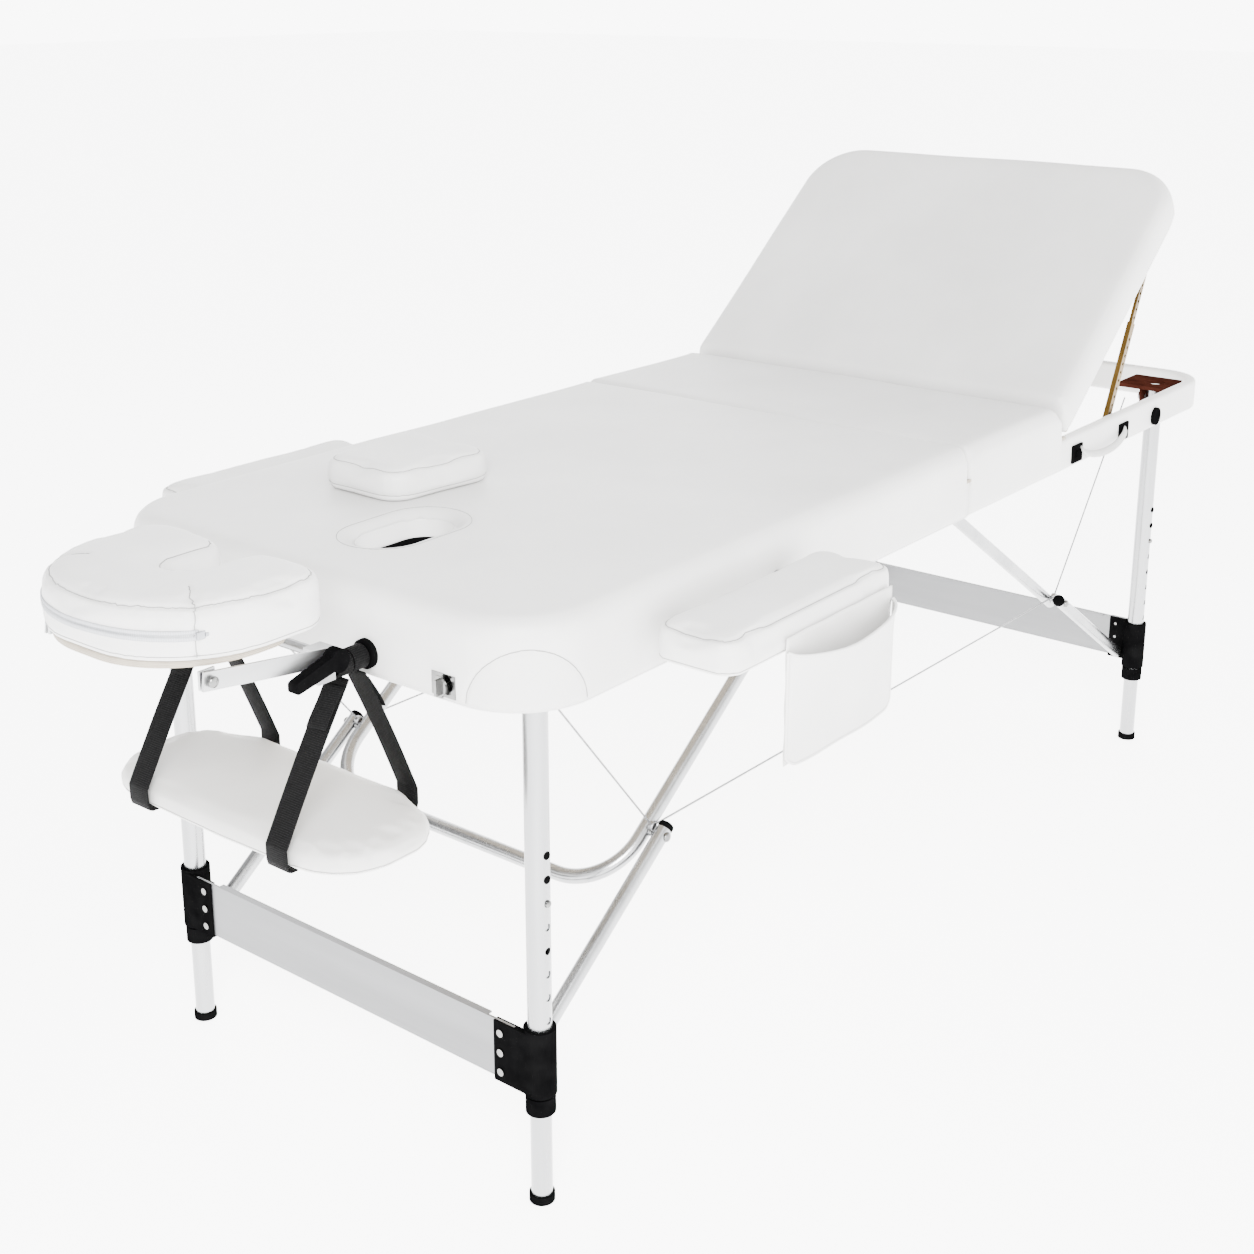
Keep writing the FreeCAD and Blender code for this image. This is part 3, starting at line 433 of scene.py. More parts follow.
def waves(obj, height, size, seed, only=None):
    """Slow unevenness of a stuffed cover."""
    co, n = coords(obj), vertex_normals(obj)
    amount = np.array([noise.noise(Vector(p) / size + Vector((seed, 0, 0))) for p in co]) * height
    if only is not None:
        amount *= only(co)
    set_coords(obj, co + n * amount[:, None])


def snap(obj, points, lift=0.0):
    """Points moved on to the surface of a piece."""
    bm = bmesh.new()
    bm.from_mesh(obj.data)
    tree = BVHTree.FromBMesh(bm)
    found = []
    for p in points:
        at, normal, _, _ = tree.find_nearest(Vector(p))
        found.append(at + normal * lift)
    bm.free()
    return found


def crease(obj, line, width, depth, closed=False):
    """Draw the cover in along a seam."""
    co, n = coords(obj), vertex_normals(obj)
    d = distance_to(co, [tuple(p) for p in line], closed)
    amount = depth * np.clip(1 - (d / width) ** 2, 0, 1) ** 2
    set_coords(obj, co - n * amount[:, None])


def cord_mesh(name, points, radius, material, body, closed=False, sides=8):
    """A thin round cord through points, as a mesh."""
    curve = bpy.data.curves.new(name, "CURVE")
    curve.dimensions = "3D"
    curve.bevel_depth, curve.bevel_resolution = radius, max(1, sides // 4)
    curve.use_fill_caps = not closed
    spline = curve.splines.new("POLY")
    spline.points.add(len(points) - 1)
    for point, p in zip(spline.points, points):
        point.co = (*p, 1)
    spline.use_cyclic_u = closed
    temp = bpy.data.objects.new(name + "_curve", curve)
    bpy.context.scene.collection.objects.link(temp)
    bpy.context.view_layer.update()
    mesh = bpy.data.meshes.new_from_object(temp.evaluated_get(bpy.context.evaluated_depsgraph_get()))
    bpy.data.objects.remove(temp)
    mesh.name = name
    obj = bpy.data.objects.new(name, mesh)
    bpy.context.scene.collection.objects.link(obj)
    mesh.materials.clear()
    mesh.materials.append(material)
    mesh.shade_smooth()
    if body:
        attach(obj, body)
    return obj


def seam(obj, name, points, body, closed=False, width=0.004, depth=0.0012, radius=0.0006):
    """A sewn line: the cover dips to it and the thread lies in the dip; the thread is real, and its dark grey
    is painted shade for the crease.
    """
    line = snap(obj, points)
    crease(obj, line, width, depth, closed)
    return cord_mesh(name, snap(obj, line, 0.0001), radius, crease_shade_thread, body, closed, 6)


def resample(points, step=0.004, closed=False):
    pts = [Vector(p) for p in points]
    if closed:
        pts.append(pts[0])
    out = []
    for p, q in zip(pts, pts[1:]):
        pieces = max(1, int((q - p).length / step))
        out += [p.lerp(q, k / pieces) for k in range(pieces)]
    if not closed:
        out.append(pts[-1])
    return out


def lathe(name, profile, at, axis, material, body, count=28):
    """A turned piece: profile is (radius, height) along an axis from a point."""
    turn = Vector((0, 0, 1)).rotation_difference(Vector(axis)).to_matrix()
    rings = [[Vector(at) + turn @ Vector((r * math.cos(2 * math.pi * k / count),
                                          r * math.sin(2 * math.pi * k / count), h))
              for k in range(count)] for r, h in profile]
    return make(name, loft(rings), material, body)


def ribbon(name, path, width, thick, side, material, body):
    """A flat tape along a path: side is the direction across it; U and V are metres on it."""
    path = [Vector(p) for p in path]
    side = Vector(side).normalized()
    bm = bmesh.new()
    uv = bm.loops.layers.uv.new("UVMap")
    rows, along = [], 0.0
    corner = thick * 0.45
    section = [(-width / 2 + corner, -thick / 2), (width / 2 - corner, -thick / 2), (width / 2, 0),
               (width / 2 - corner, thick / 2), (-width / 2 + corner, thick / 2), (-width / 2, 0)]
    for i, p in enumerate(path):
        run = (path[min(i + 1, len(path) - 1)] - path[max(i - 1, 0)]).normalized()
        up = run.cross(side).normalized()
        if i:
            along += (p - path[i - 1]).length
        rows.append(([bm.verts.new(p + side * a + up * b) for a, b in section], along))
    count = len(section)
    for (low, v0), (high, v1) in zip(rows, rows[1:]):
        for k in range(count):
            j = (k + 1) % count
            face = bm.faces.new((low[k], low[j], high[j], high[k]))
            for loop, (u, v) in zip(face.loops, ((section[k][0], v0), (section[j][0], v0),
                                                 (section[j][0], v1), (section[k][0], v1))):
                loop[uv].uv = (u, v)
    bm.faces.new(list(reversed(rows[0][0])))
    bm.faces.new(rows[-1][0])
    bmesh.ops.recalc_face_normals(bm, faces=bm.faces)
    return make(name, bm, material, body)


# ---------------------------------------------------------------- the three pads
HALF = 0.350
HEAD_X, FOLD_X, FOOT_X, HINGE_X = -0.769, 0.161, 1.055, 0.475
FRAME_LOW, FRAME_TOP, DECK_TOP, PAD_TOP, HINGE_Z = 0.620, 0.670, 0.674, 0.722, 0.673
LEAN = math.tan(math.radians(26))
BACK = math.radians(38.5)
SKIN = 0.0016
CLOTH = 0.0012
COVER_LOW, COVER_TOP = FRAME_LOW - CLOTH, PAD_TOP + CLOTH
CORNER = 0.095
VOXEL = 0.007
HOLE_X = HEAD_X + 0.176


def cover(name, ring, profile, hole=None):
    """A padded half: a foam block with round edges, and a hole through it where one is given."""
    rings = [[(p.x, p.y, z) for p in ring(d, z)] for d, z in profile]
    obj = make(name, loft(rings), white, None)
    if hole:
        bm = loft([[(p.x, p.y, z) for p in hole] for z in (FRAME_LOW - 0.05, PAD_TOP + 0.05)])
        tool = make("hole_tool", bm, white, None)
        cut = obj.modifiers.new("hole", "BOOLEAN")
        cut.operation, cut.object, cut.solver = "DIFFERENCE", tool, "EXACT"
        apply_all(obj)
        bpy.data.objects.remove(tool)
    remesh(obj, VOXEL, 2)
    return obj


HEM = 0.004


def open_below(obj, ring, low, lip=0.006, hole=None, hole_low=None, window=None):
    """Take the underside away but for a folded lip, and give the cover its thickness.

    window is (x, half width, height): the end wall is open past x, inside the width, below the height."""
    co = coords(obj)
    keep_line = ring(lip, low)
    inner = inside(co, keep_line) & (co[:, 2] < low + HEM)
    if window:
        inner |= (co[:, 0] > window[0]) & (np.abs(co[:, 1]) < window[1]) & (co[:, 2] < window[2])
    if hole is not None:
        near_hole = inside(co, inset(hole, -0.02)) & (co[:, 2] < hole_low)
        inner |= near_hole
    bm = bmesh.new()
    bm.from_mesh(obj.data)
    bm.verts.ensure_lookup_table()
    bmesh.ops.delete(bm, geom=[bm.verts[int(i)] for i in np.nonzero(inner)[0]], context="VERTS")
    bm.to_mesh(obj.data)
    bm.free()
    shell = obj.modifiers.new("shell", "SOLIDIFY")
    shell.thickness, shell.offset = CLOTH, -1
    apply_all(obj)


def top_only(co):
    return np.clip((co[:, 2] - (PAD_TOP - 0.03)) / 0.02, 0.25, 1)


def plate(x_low, x_high, half_width, low_radius, high_radius, step=0.006):
    """A rectangular outline about the table's middle line, with its own corner radius at each end."""
    return rounded([(x_low, -half_width, low_radius), (x_high, -half_width, high_radius),
                    (x_high, half_width, high_radius), (x_low, half_width, low_radius)], step)


FOLD_GAP, EDGE = 0.0005, 0.008
head_line = plate(HEAD_X - SKIN, FOLD_X - FOLD_GAP, HALF + SKIN, CORNER, EDGE)
hole_line = plate(HOLE_X - 0.068, HOLE_X + 0.068, 0.036, 0.0355, 0.0355)


def head_ring(d, z):
    return inset(head_line, d, [(1, 0.35)])


def roll_hole(obj, reach=0.022):
    """Round the rim of the face hole down into it."""
    co = coords(obj)
    d = distance_to(co, hole_line)
    top = (co[:, 2] > PAD_TOP - 0.004)
    t = np.clip(1 - d / reach, 0, 1)
    drop = reach * (1 - np.sqrt(np.clip(1 - t ** 2, 0, 1))) 
    co[:, 2] -= np.where(top, drop, 0)
    set_coords(obj, co)


def pad_profile(low):
    return edge_profile(low, COVER_TOP, 0.003, 0.026, 6)


head_pad = cover("head_cover", head_ring, pad_profile(COVER_LOW), hole_line)
roll_hole(head_pad)
waves(head_pad, 0.0016, 0.16, 3.1, top_only)
subdivide(head_pad)
PATCH_HEIGHT, PATCH_FROM, PATCH_SWEEP = 0.066, 4, 84
for name, side in SIDES.items():
    points = []
    for k in range(61):
        t = k / 60
        theta = math.radians(PATCH_FROM + PATCH_SWEEP * t)
        reach = CORNER + SKIN
        points.append((HEAD_X + CORNER - reach * math.cos(theta),
                       side * (HALF - CORNER + reach * math.sin(theta)),
                       FRAME_LOW + HEM + PATCH_HEIGHT * math.sin(math.pi * t) ** 0.55))
    seam(head_pad, f"corner_patch_seam_{name}", resample(points), "head_half")
hole_seam_line = [(p.x, p.y, PAD_TOP - 0.001) for p in inset(hole_line, -0.0215)]
seam(head_pad, "face_hole_seam", hole_seam_line, "head_half", True, depth=0.0008, radius=0.0004)
open_below(head_pad, head_ring, COVER_LOW, hole=hole_line, hole_low=FRAME_TOP - 0.001)
# A black band round the lower wall of the face hole: painted shade standing for the dark depth of the hole.
hole_shade_rings = [[(p.x, p.y, z) for p in inset(hole_line, d)]
                for d, z in ((0.0006, 0.6745), (0.0006, 0.6915), (0.0022, 0.6911), (0.0022, 0.6745),
                              (0.0006, 0.6745))]
hole_shade_band = loft(hole_shade_rings, closed=False)
bmesh.ops.remove_doubles(hole_shade_band, verts=hole_shade_band.verts, dist=1e-6)
make("face_hole_painted_shade", hole_shade_band, black, "head_half")
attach(head_pad, "head_half")
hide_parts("head_pad")

HINGE_GAP = 0.004
foot_line = plate(FOLD_X + FOLD_GAP, HINGE_X - HINGE_GAP, HALF + SKIN + 0.0004, EDGE, EDGE)


def foot_ring(d, z):
    moved = inset(foot_line, d, [(-1, 0.35), (1, 0.5)])
    lean = max(0.0, z - DECK_TOP) * LEAN
    span = HINGE_X - FOLD_X
    return [Vector((p.x - lean * max(0.0, (p.x - FOLD_X - 0.1) / (span - 0.1)), p.y)) for p in moved]


foot_pad = cover("foot_cover", foot_ring, pad_profile(COVER_LOW))
waves(foot_pad, 0.0016, 0.16, 8.4, top_only)
subdivide(foot_pad)
open_below(foot_pad, foot_ring, COVER_LOW, window=(HINGE_X - 0.012, 0.331, 0.662))
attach(foot_pad, "foot_half")
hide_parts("foot_pad")

BACK_END = FOOT_X - 0.034
back_line = plate(HINGE_X + HINGE_GAP, BACK_END, HALF, EDGE, CORNER)


def back_ring(d, z):
    moved = inset(back_line, d, [(-1, 0.5)])
    lean = max(0.0, z - DECK_TOP) * LEAN
    span = BACK_END - HINGE_X - 0.1
    return [Vector((p.x + lean * max(0.0, (BACK_END - 0.1 - p.x) / span), p.y)) for p in moved]


raise_back = (Matrix.Translation((HINGE_X, 0, HINGE_Z)) @ Matrix.Rotation(-BACK, 4, "Y")
              @ Matrix.Translation((-HINGE_X, 0, -HINGE_Z)))
back_pad = cover("backrest_cover", back_ring, edge_profile(FRAME_TOP + 0.0008, COVER_TOP, 0.003, 0.024, 6))
waves(back_pad, 0.0018, 0.18, 12.7, top_only)
subdivide(back_pad)
open_below(back_pad, back_ring, FRAME_TOP + 0.0008, 0.030)
back_pad.data.transform(raise_back)
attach(back_pad, "backrest")
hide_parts("backrest_pad")
deck_rows = [[(p.x, p.y, z) for p in inset(back_line, 0.005)] for z in (FRAME_TOP + 0.0011, DECK_TOP)]
back_deck = make("backrest_board", loft(deck_rows), board, "backrest", smooth=False)
back_deck.data.transform(raise_back)
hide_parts("backrest_deck")

# ---------------------------------------------------------------- the wrapped foot rails
RAIL_MID, RAIL_HALF, RAIL_LOW, RAIL_ROUND = 0.3416, 0.0092, 0.6194, 0.006
TURN_X, TURN_Y, TURN_RADIUS = FOOT_X - 0.075, HALF - 0.075, 0.0662
rail_path = []
for side in SIDES.values():
    rail = [(x, side * RAIL_MID) for x in np.linspace(FOLD_X + 0.0008, TURN_X, 60)]
    rail += [(TURN_X + TURN_RADIUS * math.sin(a), side * (TURN_Y + TURN_RADIUS * math.cos(a)))
             for a in np.linspace(0.06, math.pi / 2, 12)]
    rail_path += rail if side < 0 else rail[::-1]
section = rounded([(-RAIL_HALF, RAIL_LOW, RAIL_ROUND), (RAIL_HALF, RAIL_LOW, RAIL_ROUND),
                   (RAIL_HALF, FRAME_TOP, RAIL_ROUND), (-RAIL_HALF, FRAME_TOP, RAIL_ROUND)], 0.002)
rings = []
for i, (x, y) in enumerate(rail_path):
    a, b = rail_path[max(i - 1, 0)], rail_path[min(i + 1, len(rail_path) - 1)]
    run = Vector((b[0] - a[0], b[1] - a[1])).normalized()
    across = Vector((run.y, -run.x))
    rings.append([(x + across.x * p.x, y + across.y * p.x, p.y) for p in section])
rail_wrap = make("foot_rail_wrap", loft(rings), rail_white, None)
waves(rail_wrap, 0.0005, 0.05, 5.5)


def bar(name, low, high, radius, material, body):
    """A bar with rounded long edges."""
    (x0, y0, z0), (x1, y1, z1) = low, high
    outline = rounded([(x0, y0, radius), (x1, y0, radius), (x1, y1, radius), (x0, y1, radius)], radius / 2)
    rows = [[(p.x, p.y, z) for p in inset(outline, d)] for d, z in edge_profile(z0, z1, radius, radius, 3)]
    return make(name, loft(rows), material, body)


RAIL_INSIDE = 0.3312
bar("foot_fold_rail", (FOLD_X + 0.0003, -RAIL_INSIDE, FRAME_LOW), (FOLD_X + 0.030, RAIL_INSIDE, FRAME_TOP),
    0.0015, rail_white, "foot_half")
bar("hinge_cross_bar", (HINGE_X - 0.040, -RAIL_INSIDE, 0.6642), (HINGE_X - HINGE_GAP, RAIL_INSIDE, 0.6687),
    0.001, board, "foot_half")
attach(rail_wrap, "foot_half")
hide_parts("foot_frame")

# ---------------------------------------------------------------- smaller cushions


SHRINK, CUSHION_VOXEL = 0.003, 0.005


def cushion(name, outline, low, high, low_radius, high_radius, cap, body, material=white, crown=0.0,
            seed=0.0):
    """A small stuffed piece: built a little small, blown up by the cloth solver, and made fine."""
    start = inset(outline, SHRINK)
    rings = [[(p.x, p.y, z) for p in inset(start, d)]
             for d, z in edge_profile(low, high - SHRINK, low_radius, high_radius)]
    obj = make(name, loft(rings), material, None)
    remesh(obj, CUSHION_VOXEL, 1)
    puff(obj, cap, lambda rest: rest[:, 2] < low + 0.003)
    co = coords(obj)
    reach = np.clip(distance_to(co, outline) / 0.06, 0, 1)
    co[:, 2] += np.where(co[:, 2] > (low + high) / 2, crown * (1 - (1 - reach) ** 2), 0)
    set_coords(obj, co)
    waves(obj, 0.0008, 0.05, seed)
    subdivide(obj)
    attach(obj, body)
    return obj


def edge_line(outline, height):
    return [(p.x, p.y, height) for p in outline]


REST_LOW, REST_HIGH, REST_ROUND = 0.6475, 0.690, 0.028
PEG_PLACES, PEG_START, PEG_Z, PEG_RADIUS, PEG_LENGTH = (0.239, 0.444), 0.324, 0.663, 0.0088, 0.054
for name, side in SIDES.items():
    body = f"armrest_{name}"
    low_y, high_y = sorted((side * (HALF + 0.016), side * (HALF + 0.131)))
    low_x, high_x = HEAD_X + 0.169, HEAD_X + 0.514
    line = rounded([(low_x, low_y, REST_ROUND), (high_x, low_y, REST_ROUND),
                    (high_x, high_y, REST_ROUND), (low_x, high_y, REST_ROUND)], 0.004)
    piece = cushion(f"armrest_cushion_{name}", line, REST_LOW, REST_HIGH, 0.004, 0.008, 0.0035, body,
                    crown=0.003, seed=side * 2.0)
    seam(piece, f"armrest_top_seam_{name}", edge_line(inset(line, 0.0065), REST_HIGH + 0.004), body, True,
         depth=0.0016)
    seam(piece, f"armrest_low_seam_{name}", edge_line(line, 0.651), body, True, depth=0.001, radius=0.0005)
    for k, place in enumerate(PEG_PLACES):
        lathe(f"armrest_peg_{name}_{k}", [(0.0001, 0), (0.0075, 0), (PEG_RADIUS, 0.0015), (PEG_RADIUS, 0.050),
                                          (PEG_RADIUS, PEG_LENGTH)],
              (HEAD_X + place, side * PEG_START, PEG_Z), (0, side, 0), steel, body)
    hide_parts(body)

PLUG_LOW, PLUG_HIGH, PLUG_ROUND = 0.7245, 0.7644, 0.038
PLUG_X, PLUG_Y, PLUG_LENGTH, PLUG_NARROW, PLUG_WIDE = HEAD_X + 0.314, 0.138, 0.090, 0.072, 0.090
plug_line = rounded([(PLUG_X - PLUG_LENGTH, PLUG_Y - PLUG_NARROW, PLUG_ROUND),
                     (PLUG_X + PLUG_LENGTH, PLUG_Y - PLUG_WIDE, PLUG_ROUND),
                     (PLUG_X + PLUG_LENGTH, PLUG_Y + PLUG_WIDE, PLUG_ROUND),
                     (PLUG_X - PLUG_LENGTH, PLUG_Y + PLUG_NARROW, PLUG_ROUND)], 0.004)
plug = cushion("face_plug_cushion", plug_line, PLUG_LOW, PLUG_HIGH, 0.008, 0.010, 0.0035, "face_plug",
               crown=0.004, seed=4.0)
seam(plug, "face_plug_top_seam", edge_line(inset(plug_line, 0.008), 0.770), "face_plug", True,
     depth=0.0014, radius=0.0005)
seam(plug, "face_plug_low_seam", edge_line(plug_line, 0.7315), "face_plug", True, depth=0.001, radius=0.0005)
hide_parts("face_plug")

SHELF_X, SHELF_LOW, SHELF_HIGH = HEAD_X - 0.047, 0.446, 0.473
near_half = [(SHELF_X - 0.090, -0.216, 0.080), (SHELF_X + 0.060, -0.216, 0.070),
             (SHELF_X + 0.096, -0.120, 0.060)]
far_half = [(x, -y, radius) for x, y, radius in reversed(near_half)]
shelf_line = rounded(near_half + far_half + [(SHELF_X - 0.096, 0, 0.300)], 0.004)
shelf = cushion("arm_shelf_pad", shelf_line, SHELF_LOW, SHELF_HIGH, 0.006, 0.012, 0.003, "arm_shelf", cream,
                crown=0.002, seed=6.0)
seam(shelf, "arm_shelf_seam", edge_line(shelf_line, 0.4505), "arm_shelf", True, depth=0.001, radius=0.0005)
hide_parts("arm_shelf")

# ---------------------------------------------------------------- face cradle cushion with its zip
cushion_x = HEAD_X - 0.283
lobe_x = HEAD_X - 0.065
ZIP_X = HEAD_X - 0.135
CUSHION_LOW, CUSHION_TOP = 0.7075, 0.768
cradle_line = rounded([(lobe_x, -0.150, 0.044), (lobe_x, -0.020, 0.026), (cushion_x + 0.128, -0.020, 0.0195),
                       (cushion_x + 0.128, 0.020, 0.0195), (lobe_x, 0.020, 0.026), (lobe_x, 0.150, 0.044),
                       (cushion_x, 0.150, 0.128), (cushion_x, -0.150, 0.128)], 0.004)
cradle = cushion("headrest_cradle_cushion", cradle_line, CUSHION_LOW, CUSHION_TOP - 0.001, 0.006, 0.012,
                 0.0035, "headrest_platform", crown=0.004, seed=9.0)
co = coords(cradle)
slot_mid = [(lobe_x, 0.0), (cushion_x + 0.15, 0.0)]
dip = np.clip(1 - distance_to(co, slot_mid, False) / 0.070, 0, 1) ** 1.5 * 0.014
co[:, 2] -= np.where(co[:, 2] > 0.740, dip, 0)
set_coords(cradle, co)
seam(cradle, "cradle_top_seam", edge_line(inset(cradle_line, 0.005), CUSHION_TOP + 0.004),
     "headrest_platform", True, depth=0.0018)
seam(cradle, "cradle_low_seam", edge_line(cradle_line, CUSHION_LOW + 0.005), "headrest_platform",
     True, depth=0.001, radius=0.0005)
for name, side in SIDES.items():
    angle = math.radians(37)
    rim = Vector((cushion_x + 0.128 - 0.1285 * math.sin(angle), side * (0.022 + 0.1285 * math.cos(angle)), 0))
    centre = Vector((cushion_x + 0.122, side * 0.018, 0))
    across = [rim + Vector((0, 0, z)) for z in np.linspace(CUSHION_LOW + 0.003, CUSHION_TOP - 0.004, 16)]
    across += [rim.lerp(centre, 0.05 + 0.35 * t) + Vector((0, 0, CUSHION_TOP + 0.008))
               for t in np.linspace(0, 1, 24)]
    seam(cradle, f"cradle_cross_seam_{name}", resample(across), "headrest_platform", depth=0.0016)

# the zip runs round the closed end of the horseshoe
zip_end = sorted((p for p in cradle_line if p.x < cushion_x + 0.054),
                 key=lambda p: math.atan2(p.y, ZIP_X - p.x))
zip_path = [(p.x, p.y, 0.736) for p in zip_end]
zip_track = snap(cradle, resample(zip_path), 0.0006)


def band(name, points, half_height, thick, material, rise=0.0):
    """A tape standing on edge along a side."""
    points = [Vector(p) for p in points]
    bm = bmesh.new()
    uv = bm.loops.layers.uv.new("UVMap")
    rows, along = [], 0.0
    for i, p in enumerate(points):
        run = points[min(i + 1, len(points) - 1)] - points[max(i - 1, 0)]
        out = Vector((run.y, -run.x, 0)).normalized()
        if out.dot(Vector((p.x - ZIP_X, p.y, 0))) < 0:
            out = -out
        if i:
            along += (p - points[i - 1]).length
        shape = [(-half_height, -0.001), (half_height, -0.001), (half_height, thick), (-half_height, thick)]
        rows.append(([bm.verts.new(p + Vector((0, 0, rise + a)) + out * b) for a, b in shape], along, shape))
    for (low, v0, shape), (high, v1, _) in zip(rows, rows[1:]):
        for k in range(4):
            j = (k + 1) % 4
            face = bm.faces.new((low[k], low[j], high[j], high[k]))
            for loop, (u, v) in zip(face.loops, ((shape[k][0], v0), (shape[j][0], v0), (shape[j][0], v1),
                                                 (shape[k][0], v1))):
                loop[uv].uv = (u, v)
    bm.faces.new(list(reversed(rows[0][0])))
    bm.faces.new(rows[-1][0])
    bmesh.ops.recalc_face_normals(bm, faces=bm.faces)
    return make(name, bm, material, "headrest_platform")


band("cradle_zip_tape_low", zip_track, 0.0022, 0.0005, zip_tape, -0.0032)
band("cradle_zip_tape_high", zip_track, 0.0022, 0.0005, zip_tape, 0.0032)
teeth = bmesh.new()
for i in range(0, len(zip_track) - 1):
    p, q = Vector(zip_track[i]), Vector(zip_track[i + 1])
    for t in (0.0, 0.5):
        at = p.lerp(q, t)
        run = (q - p).normalized()
        out = Vector((run.y, -run.x, 0)).normalized()
        if out.dot(Vector((at.x - ZIP_X, at.y, 0))) < 0:
            out = -out
        frame_matrix = Matrix((run, Vector((0, 0, 1)), out)).transposed().to_4x4()
        frame_matrix.translation = at + out * 0.0002
        tooth = Matrix.Diagonal((0.0011, 0.0030, 0.0012, 1))
        bmesh.ops.create_cube(teeth, size=1, matrix=frame_matrix @ tooth)
make("cradle_zip_teeth", teeth, zip_metal, "headrest_platform", smooth=False)
near_end = min((0, -1), key=lambda k: zip_track[k].y)
end_point = Vector(zip_track[near_end])
for name, low, high, radius in (
        ("cradle_zip_slider", (-0.004, -0.0035, -0.0042), (0.006, -0.0005, 0.0042), 0.0008),
        ("cradle_zip_pull", (0.005, -0.0048, -0.0022), (0.024, -0.0034, 0.0018), 0.0006)):
    bar(name, end_point + Vector(low), end_point + Vector(high), radius, zip_metal, "headrest_platform")
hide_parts("headrest_cushion")

board_x, board_end, board_half, board_slot = cushion_x + 0.008, lobe_x - 0.047, 0.134, 0.048
board_line = rounded([(board_end, -board_half, 0.030), (board_end, -board_slot, 0.016),
                      (cushion_x + 0.122, -board_slot, 0.030), (cushion_x + 0.122, board_slot, 0.030),
                      (board_end, board_slot, 0.016), (board_end, board_half, 0.030),
                      (board_x, board_half, 0.116), (board_x, -board_half, 0.116)], 0.004)
board_rows = [[(p.x, p.y, z) for p in inset(board_line, d)]
              for d, z in ((0.001, 0.6990), (0, 0.7000), (0, 0.7060), (0.001, 0.7070))]
cradle_board = make("headrest_board", loft(board_rows), board, "headrest_platform")
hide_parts("headrest_platform")
TILT = Vector((HEAD_X - 0.223, 0, 0.688))
for name, side in SIDES.items():
    lug_y = side * 0.125
    bar(f"headrest_lug_{name}", (TILT.x - 0.010, lug_y - 0.0015, TILT.z - 0.009),
        (TILT.x + 0.010, lug_y + 0.0015, 0.6995),
        0.0008, arm_metal, "headrest_platform")
    lathe(f"headrest_pivot_{name}", [(0.0001, 0.003), (0.003, 0.003), (0.003, 0.0172), (0.0062, 0.0174),
                                     (0.0060, 0.0192), (0.0042, 0.0206), (0.0001, 0.0210)],
          (TILT.x, side * 0.1175, TILT.z), (0, side, 0), chrome, "headrest_platform", 24)

# ---------------------------------------------------------------- straps
STRAP_WIDTH, LOOP_RADIUS = 0.034, 0.0128
STRAP_FOOT = ((0.0, 0.460), (0.0, 0.452), (0.002, 0.4455), (0.006, 0.4435), (0.014, 0.4432))


def shelf_edge(y, front):
    """Where the shelf's outline crosses a line along the table."""
    near = sorted(shelf_line, key=lambda p: abs(p.y - y))[:8]
    return (max if front else min)(p.x for p in near)


for name, side in SIDES.items():
    for end, x in (("in", HEAD_X - 0.021), ("out", HEAD_X - 0.044)):
        y = side * 0.117
        sign = 1 if end == "in" else -1
        foot_x = shelf_edge(y, end == "in") + sign * 0.0022
        start, finish = Vector((x, y, 0.633)), Vector((foot_x, y, 0.470))
        path = [start.lerp(finish, t) + Vector((sign * 0.002 * math.sin(math.pi * t), 0, 0))
                for t in np.linspace(0, 1, 30)]
        path += [Vector((foot_x - sign * under, y, z)) for under, z in STRAP_FOOT]
        piece = ribbon(f"shelf_strap_{name}_{end}", path, STRAP_WIDTH, 0.0020, (0, 1, 0), strap_black,
                       "arm_shelf")
        ring_path = [(x, y + LOOP_RADIUS * math.sin(a), 0.646 + LOOP_RADIUS * math.cos(a))
                     for a in np.linspace(0, 2 * math.pi, 33)]
        ribbon(f"shelf_strap_loop_{name}_{end}", ring_path, 0.022, 0.0022, (1, 0, 0),
                                   strap_black, "arm_shelf")
        flap = []
        for t in np.linspace(0.05, 0.30, 14):
            stand = 0.0035 + 0.0035 * math.sin(9 * t + side)
            flap.append(start.lerp(finish, t) + Vector((sign * stand, 0.0008 * side, 0)))
        ribbon(f"shelf_strap_tail_{name}_{end}", flap, 0.031, 0.0018,
                                   (0, 1, 0.10 * side), strap_black, "arm_shelf")
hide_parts("shelf_straps")

# ---------------------------------------------------------------- carry strap on the near foot rail
strap_low, strap_high = FOLD_X + 0.356, FOLD_X + 0.519
y_out = -HALF - 0.0085
carry = []
for t in np.linspace(0, 1, 40):
    x = strap_low + (strap_high - strap_low) * t
    sag = 0.018 * (4 * t * (1 - t)) ** 0.6
    bulge = 0.006 * math.sin(math.pi * t) ** 0.7
    carry.append((x, y_out - bulge, FRAME_LOW + 0.026 - sag))
handle = ribbon("carry_strap", carry, 0.012, 0.0040, (0, 0.5, 1), strap_white, "foot_half")
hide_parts("carry_handle")

# ---------------------------------------------------------------- pocket on the near armrest
pocket_x0, pocket_x1, pocket_y, pocket_z0, pocket_z1 = HEAD_X + 0.269, HEAD_X + 0.491, -0.4822, 0.518, 0.652


def pocket_point(u, v):
    """A point of the front panel: u runs along it and v up it; it bellies out and its mouth sags open."""
    x = pocket_x0 + (pocket_x1 - pocket_x0) * u
    belly = math.sin(math.pi * u) ** 0.55
    mouth = v ** 2.2
    out = 0.0025 + (0.007 + 0.021 * mouth) * belly
    out += 0.0012 * math.sin(11 * u + 4 * v) * belly
    z = pocket_z0 + (pocket_z1 - pocket_z0) * v - 0.012 * mouth * belly
    corner = min(u, 1 - u)
    z += 0.010 * (1 - v) ** 6 * max(0.0, 1 - corner / 0.08) ** 2
    return Vector((x, pocket_y - out, z))


